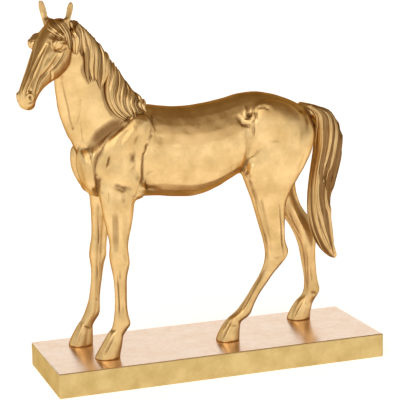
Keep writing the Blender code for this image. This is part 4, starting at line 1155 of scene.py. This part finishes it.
def neighboursOf(mesh):
    # Each edge's two ends, and how many edges meet at each point
    edges = np.empty(len(mesh.edges) * 2, np.int32)
    mesh.edges.foreach_get("vertices", edges)
    return edges.reshape(-1, 2), np.bincount(edges, minlength=len(mesh.vertices))[:, None]


def neighbourMean(points, edges, count):
    # The middle of each point's neighbours: their sum, axis by axis, over their number
    total = np.zeros_like(points)
    for axis in range(3):
        total[:, axis] += np.bincount(edges[:, 0], points[edges[:, 1], axis], len(points))
        total[:, axis] += np.bincount(edges[:, 1], points[edges[:, 0], axis], len(points))
    return total / count


def relax(mesh, weights, rounds):
    # Moves each point towards the middle of its neighbours, by its weight, round after round
    edges, count = neighboursOf(mesh)
    points = pointsOf(mesh)
    for _ in range(rounds):
        points += weights[:, None] * (neighbourMean(points, edges, count) - points)
    setPoints(mesh, points)


# Where two masses run into each other: x, z, radius, in side view
blends = [
    (-80, 170, 40), (-100, 185, 25), (60, 180, 45), (35, 150, 18), (92, 195, 16),
    (-75, 140, 16), (-118, 240, 14), (80, 150, 22),
]


def blendWeights(points):
    # 0.25 everywhere, rising to 0.5 within a blend as 0.8 (1 - distance / radius)
    weights = np.full(len(points), 0.25)
    for x, z, radius in blends:
        away = np.hypot(points[:, 0] - x, points[:, 2] - z) / radius
        weights = np.maximum(weights, 0.5 * np.clip(1.6 - 1.6 * away, 0, 1))
    return weights


hexDigits = 16


def toLinear(hexColour):
    # sRGB hex to linear: the standard curve, channel by channel
    channels = [int(hexColour[i:i + 2], hexDigits) / 255 for i in (1, 3, 5)]
    return tuple(c / 12.92 if c <= 0.04045 else ((c + 0.055) / 1.055) ** 2.4 for c in channels) + (1.0,)


def addNode(material, kind, settings=None, links=None):
    # One shader node: settings go to its properties or its inputs by name or number, links feed its inputs
    node = material.node_tree.nodes.new(kind)
    for name, value in (settings or {}).items():
        if isinstance(name, str) and hasattr(node, name):
            setattr(node, name, value)
        else:
            node.inputs[name].default_value = value
    for name, source in (links or {}).items():
        material.node_tree.links.new(source, node.inputs[name])
    return node


def gildedResin(name, values):
    # Cast resin painted with gold leaf paint: a warm metal with a faint cloud of tone and roughness,
    # darker brown and duller where the shade attribute lays painted shade
    material = bpy.data.materials.new(name)
    material.use_nodes = True
    shader = material.node_tree.nodes["Principled BSDF"]
    place = addNode(material, "ShaderNodeTexCoord").outputs["Object"]
    noise = "ShaderNodeTexNoise"
    cloud = addNode(material, noise, {"Scale": 1 / values["cloud"], "Detail": 5.0, "Roughness": 0.6},
                    {"Vector": place})
    fine = addNode(material, noise, {"Scale": 1 / values["fine"], "Detail": 3.0, "Roughness": 0.55},
                   {"Vector": place})
    grain = addNode(material, noise, {"Scale": 1 / values["grain"], "Detail": 2.0}, {"Vector": place})
    tone = addNode(material, "ShaderNodeValToRGB", None, {"Fac": cloud.outputs["Fac"]})
    tone.color_ramp.elements[0].position, tone.color_ramp.elements[1].position = 0.36, 0.66
    tone.color_ramp.elements[0].color = toLinear(values["deep"])
    tone.color_ramp.elements[1].color = toLinear(values["gold"])
    # painted shade: the shade attribute mixes the brown colour into the gold
    shadeMap = addNode(material, "ShaderNodeAttribute", {"attribute_name": "paintedShadeAmount"})
    shadeShare = addNode(material, "ShaderNodeMapRange", {1: 0.15, 2: 1.0, 3: 0.0, 4: values["shade brown share"]},
                       {0: shadeMap.outputs["Fac"]})
    mixed = addNode(material, "ShaderNodeMix", {"data_type": "RGBA", 7: toLinear(values["shade brown colour"])},
                    {0: shadeShare.outputs[0], 6: tone.outputs["Color"]})
    rough = addNode(material, "ShaderNodeMapRange",
                    {1: 0.3, 2: 0.7, 3: values["polished"], 4: values["dull"]}, {0: fine.outputs["Fac"]})
    rougher = addNode(material, "ShaderNodeMath", {"operation": "MULTIPLY_ADD", 1: values["painted shade dull"]},
                      {0: shadeShare.outputs[0], 2: rough.outputs[0]})
    relief = addNode(material, "ShaderNodeBump",
                     {"Strength": values["relief strength"], "Distance": values["relief"]},
                     {"Height": fine.outputs["Fac"]})
    tooth = addNode(material, "ShaderNodeBump",
                    {"Strength": values["tooth strength"], "Distance": values["tooth"]},
                    {"Height": grain.outputs["Fac"], "Normal": relief.outputs["Normal"]})
    shader.inputs["Metallic"].default_value = values["metallic"]
    shader.inputs["Specular Tint"].default_value = toLinear(values["edge"])
    material.node_tree.links.new(mixed.outputs[2], shader.inputs["Base Color"])
    material.node_tree.links.new(rougher.outputs[0], shader.inputs["Roughness"])
    material.node_tree.links.new(tooth.outputs["Normal"], shader.inputs["Normal"])
    return material


def markPaintedShade(mesh, rounds, reach):
    # The shade attribute, painted shade from 0 to 1: how far each point lies below the middle of its
    # neighbourhood, along its normal, over reach, or the painted shade of the strokes there, whichever is
    # more
    edges, count = neighboursOf(mesh)
    points, normals = pointsOf(mesh), normalsOf(mesh)
    middle = points.copy()
    for _ in range(rounds):
        middle = neighbourMean(middle, edges, count)
    depth = ((middle - points) * normals).sum(1)
    markShade(mesh, np.maximum(np.clip(depth / reach, 0, 1), paintedShadeShares(mesh)))


# Gilding: "edge" is the colour of the metal's glancing reflection, which gives the figure its brown outlines.
# Lengths in metres: the tone's clouds are 2 cm wide, brush marks 4 mm, and the leaf's grain 1 mm, drawn
# coarser than the real one so that it shows; relief and tooth are the heights of the last two
# The brown colour and its share are painted shade, laid where the shade attribute is high
horseGold = {
    "gold": "#F0CE93", "deep": "#D2B076", "edge": "#9A622E", "shade brown colour": "#633810", "shade brown share": 0.8,
    "cloud": 0.022, "fine": 0.0035, "grain": 0.0011,
    "polished": 0.28, "dull": 0.38, "painted shade dull": 0.15,
    "relief": 0.0003, "relief strength": 0.2, "tooth": 0.00008, "tooth strength": 0.25,
    "metallic": 1.0,
}
plinthGold = {
    "gold": "#D8C086", "deep": "#C6AC70", "edge": "#D8C6A8", "shade brown colour": "#6A431C", "shade brown share": 0.6,
    "cloud": 0.018, "fine": 0.004, "grain": 0.0012,
    "polished": 0.42, "dull": 0.54, "painted shade dull": 0.1,
    "relief": 0.0004, "relief strength": 0.3, "tooth": 0.00015, "tooth strength": 0.4,
    "metallic": 1.0,
}
# The top's pale, pinkish colour and near-white edge are a painted reflection of the white surroundings
plinthTopPaintedReflection = {
    "gold": "#FDE9D6", "deep": "#F9DFC6", "edge": "#FFF6EE", "shade brown colour": "#6A431C", "shade brown share": 0.6,
    "cloud": 0.018, "fine": 0.004, "grain": 0.0012,
    "polished": 0.20, "dull": 0.27, "painted shade dull": 0.1,
    "relief": 0.0003, "relief strength": 0.12, "tooth": 0.00008, "tooth strength": 0.15,
    "metallic": 1.0,
}


# How far the visible figure stays inside the solid's box, in metres
boxMargin = 2e-5


def keepInside(mesh, node):
    # Points past the solid's box are moved back to it
    low, high = (np.array(corner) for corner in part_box(node))
    setPoints(mesh, np.clip(pointsOf(mesh), low + boxMargin, high - boxMargin))


def setOnPlinth(mesh):
    # From the figure's steps to metres, on the plinth's top
    place = Matrix.Translation((horseAlong, horseAcross, plinthHeight + seatGap))
    mesh.transform(place @ Matrix.Scale(horseHeight / stepsTall, 4))


# Finishing the figure, in steps: below soleHeight all is flat on the plinth; beyond faceBelow and faceBehind
# is the head, which is thinned less; hollowRounds and hollowReach say how wide and how deep a hollow counts
soleHeight = 0.7
faceBelow, faceBehind = 206, -88
plainThinning, faceThinning, thinningFactor = 1.0, 0.25, 0.2
hollowRounds, hollowReach = 14, 0.55


def makeHorse(material):
    horse = bpy.data.objects.new("gildedHorse", modelBody())
    bpy.context.scene.collection.objects.link(horse)
    fuse(horse, clayVoxel)
    weights = blendWeights(pointsOf(horse.data))
    relax(horse.data, np.where(weights > 0.3, weights, 0.0), blendRounds)
    relax(horse.data, np.full(len(weights), 0.5), evenRounds)
    carve(horse.data)
    points = pointsOf(horse.data)
    points[:, 2] = np.where(points[:, 2] < soleHeight, 0.0, points[:, 2])
    setPoints(horse.data, points)
    print("horse modelled")
    mane, tail = (bpy.data.objects.new(mesh.name, mesh) for mesh in modelHair(horse.data))
    for hair in (mane, tail):
        bpy.context.scene.collection.objects.link(hair)
    print("hair laid")
    points = pointsOf(horse.data)
    group = horse.vertex_groups.new(name="plain")
    fine = (points[:, 2] > faceBelow) & (points[:, 0] < faceBehind)
    group.add(np.flatnonzero(~fine).tolist(), plainThinning, "REPLACE")
    group.add(np.flatnonzero(fine).tolist(), faceThinning, "REPLACE")
    thin = horse.modifiers.new("thin out", "DECIMATE")
    thin.vertex_group, thin.vertex_group_factor = group.name, thinningFactor
    horse.data.calc_loop_triangles()
    thin.ratio = min(1.0, horseTriangles / len(horse.data.loop_triangles))
    applyModifiers(horse)
    markPaintedShade(horse.data, hollowRounds, hollowReach)
    for piece in (horse, mane, tail):
        setOnPlinth(piece.data)
        keepInside(piece.data, "horse")
        piece.data.shade_smooth()
        piece.data.materials.append(material)
        piece.data.calc_loop_triangles()
        print(piece.name, len(piece.data.loop_triangles), "triangles")
    return horse, mane, tail


# Faces smaller than edgeFace, in square metres, are its rounded edges; a face whose normal rises more than
# topRise is on its top
edgeFace, topRise = 1e-4, 0.6
edgeSteps = 4


def makePlinth(material, topMaterial):
    # The solid's own box with rounded edges; its top face has a material of its own, paled by a painted
    # reflection
    low, high = (np.array(corner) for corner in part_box("plinth"))
    block = bmesh.new()
    bmesh.ops.create_cube(block, size=1.0)
    bmesh.ops.scale(block, vec=high - low, verts=block.verts)
    bmesh.ops.translate(block, vec=(low + high) / 2, verts=block.verts)
    bmesh.ops.bevel(block, geom=block.edges, offset=plinthEdge, segments=edgeSteps, profile=0.5,
                    affect="EDGES")
    mesh = bpy.data.meshes.new("gildedPlinth")
    block.to_mesh(mesh)
    block.free()
    plinth = bpy.data.objects.new("gildedPlinth", mesh)
    bpy.context.scene.collection.objects.link(plinth)
    mesh.shade_smooth()
    for polygon in mesh.polygons:
        polygon.use_smooth = polygon.area < edgeFace
    mesh.attributes.new("paintedShadeAmount", "FLOAT", "POINT")
    mesh.materials.append(material)
    mesh.materials.append(topMaterial)
    for polygon in mesh.polygons:
        polygon.material_index = int(polygon.normal.z > topRise)
    print("plinth made")
    return plinth


horsePieces = makeHorse(gildedResin("goldLeafPaintedShade", horseGold))
plinth = makePlinth(gildedResin("brushedGoldLeaf", plinthGold),
                    gildedResin("polishedGoldLeafPaintedReflection", plinthTopPaintedReflection))
for piece in horsePieces:
    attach(piece, "root")
    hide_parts("horse")
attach(plinth, "root")
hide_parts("plinth")

# A white floor, and a sky that is pale low down and brown above: the gold mirrors both
studio = {
    "floor": "#FFFFFF", "floor size": 40.0,
    "sky": 1.0, "light": "#FFFFFF", "dark": "#866A42", "from": 0.34, "to": 0.66,
    "dark side": (0.83, -0.56, 0.0), "dark side share": 0.25,
    "floor glow": 0.6,
}


def plainMatte(name, hexColour, roughness):
    material = bpy.data.materials.new(name)
    material.use_nodes = True
    shader = material.node_tree.nodes["Principled BSDF"]
    shader.inputs["Base Color"].default_value = toLinear(hexColour)
    shader.inputs["Roughness"].default_value = roughness
    return material


def makeStudio(values):
    half = values["floor size"] / 2
    mesh = bpy.data.meshes.new("studioFloor")
    corners = [(-half, -half, 0), (half, -half, 0), (half, half, 0), (-half, half, 0)]
    mesh.from_pydata(corners, [], [(0, 1, 2, 3)])
    floor = bpy.data.objects.new("studioFloor", mesh)
    paper = plainMatte("paperFloor", values["floor"], 0.9)
    shader = paper.node_tree.nodes["Principled BSDF"]
    shader.inputs["Emission Color"].default_value = toLinear(values["floor"])
    shader.inputs["Emission Strength"].default_value = values["floor glow"]
    mesh.materials.append(paper)
    bpy.context.scene.collection.objects.link(floor)
    world = bpy.data.worlds.new("studio")
    bpy.context.scene.world = world
    world.use_nodes = True
    back = world.node_tree.nodes["Background"]
    back.inputs["Strength"].default_value = values["sky"]
    direction = addNode(world, "ShaderNodeTexCoord").outputs["Generated"]
    height = addNode(world, "ShaderNodeSeparateXYZ", None, {0: direction}).outputs["Z"]
    beside = addNode(world, "ShaderNodeVectorMath",
                     {"operation": "DOT_PRODUCT", 1: values["dark side"]}, {0: direction})
    leaned = addNode(world, "ShaderNodeMath", {"operation": "MAXIMUM", 1: 0.0}, {0: beside.outputs["Value"]})
    raised = addNode(world, "ShaderNodeMath", {"operation": "MULTIPLY_ADD", 1: values["dark side share"]},
                     {0: leaned.outputs[0], 2: height})
    sky = addNode(world, "ShaderNodeValToRGB", None, {"Fac": raised.outputs[0]})
    sky.color_ramp.elements[0].position, sky.color_ramp.elements[1].position = values["from"], values["to"]
    sky.color_ramp.elements[0].color = toLinear(values["light"])
    sky.color_ramp.elements[1].color = toLinear(values["dark"])
    world.node_tree.links.new(sky.outputs["Color"], back.inputs["Color"])


# Round soft lights: where they shine from, as azimuth from +X and height in degrees, their width in degrees,
# and their strength in watts per square metre
lamps = {
    "keySoftbox": (238.0, 48.0, 50.0, 0.85),
    "fillSoftbox": (290.0, 25.0, 40.0, 0.22),
}
lampDistance = 1.5  # for the eye in the viewport only; a sun lamp's light doesn't change with it


def makeLamps(rows):
    # Sun lamps, whose width in the sky makes their light soft
    for name, (azimuth, height, width, power) in rows.items():
        lamp = bpy.data.lights.new(name, "SUN")
        lamp.angle, lamp.energy = math.radians(width), power
        thing = bpy.data.objects.new(name, lamp)
        around, up = math.radians(azimuth), math.radians(height)
        flat = math.cos(up)
        towards = Vector((flat * math.cos(around), flat * math.sin(around), math.sin(up)))
        thing.location = towards * lampDistance
        thing.rotation_mode = "QUATERNION"
        thing.rotation_quaternion = towards.to_track_quat("Z", "Y")
        bpy.context.scene.collection.objects.link(thing)


def makeCamera(values):
    # Its axes are made square to one another, and its place is counted from the plinth's top
    data = bpy.data.cameras.new("photoCamera")
    data.lens, data.sensor_width = values["lens"], values["sensor"]
    data.clip_start, data.clip_end = 0.05, 60.0
    thing = bpy.data.objects.new("photoCamera", data)
    ahead = Vector(values["ahead"]).normalized()
    upward = Vector(values["upward"])
    right = ahead.cross(upward).normalized()
    upward = right.cross(ahead)
    place = Vector(values["place"]) + Vector((0, 0, plinthHeight))
    thing.matrix_world = Matrix((right, upward, -ahead)).transposed().to_4x4()
    thing.matrix_world.translation = place
    bpy.context.scene.collection.objects.link(thing)
    bpy.context.scene.camera = thing


makeStudio(studio)
makeLamps(lamps)
makeCamera(camera)
bpy.context.scene.view_settings.view_transform = "Standard"
print("studio set")
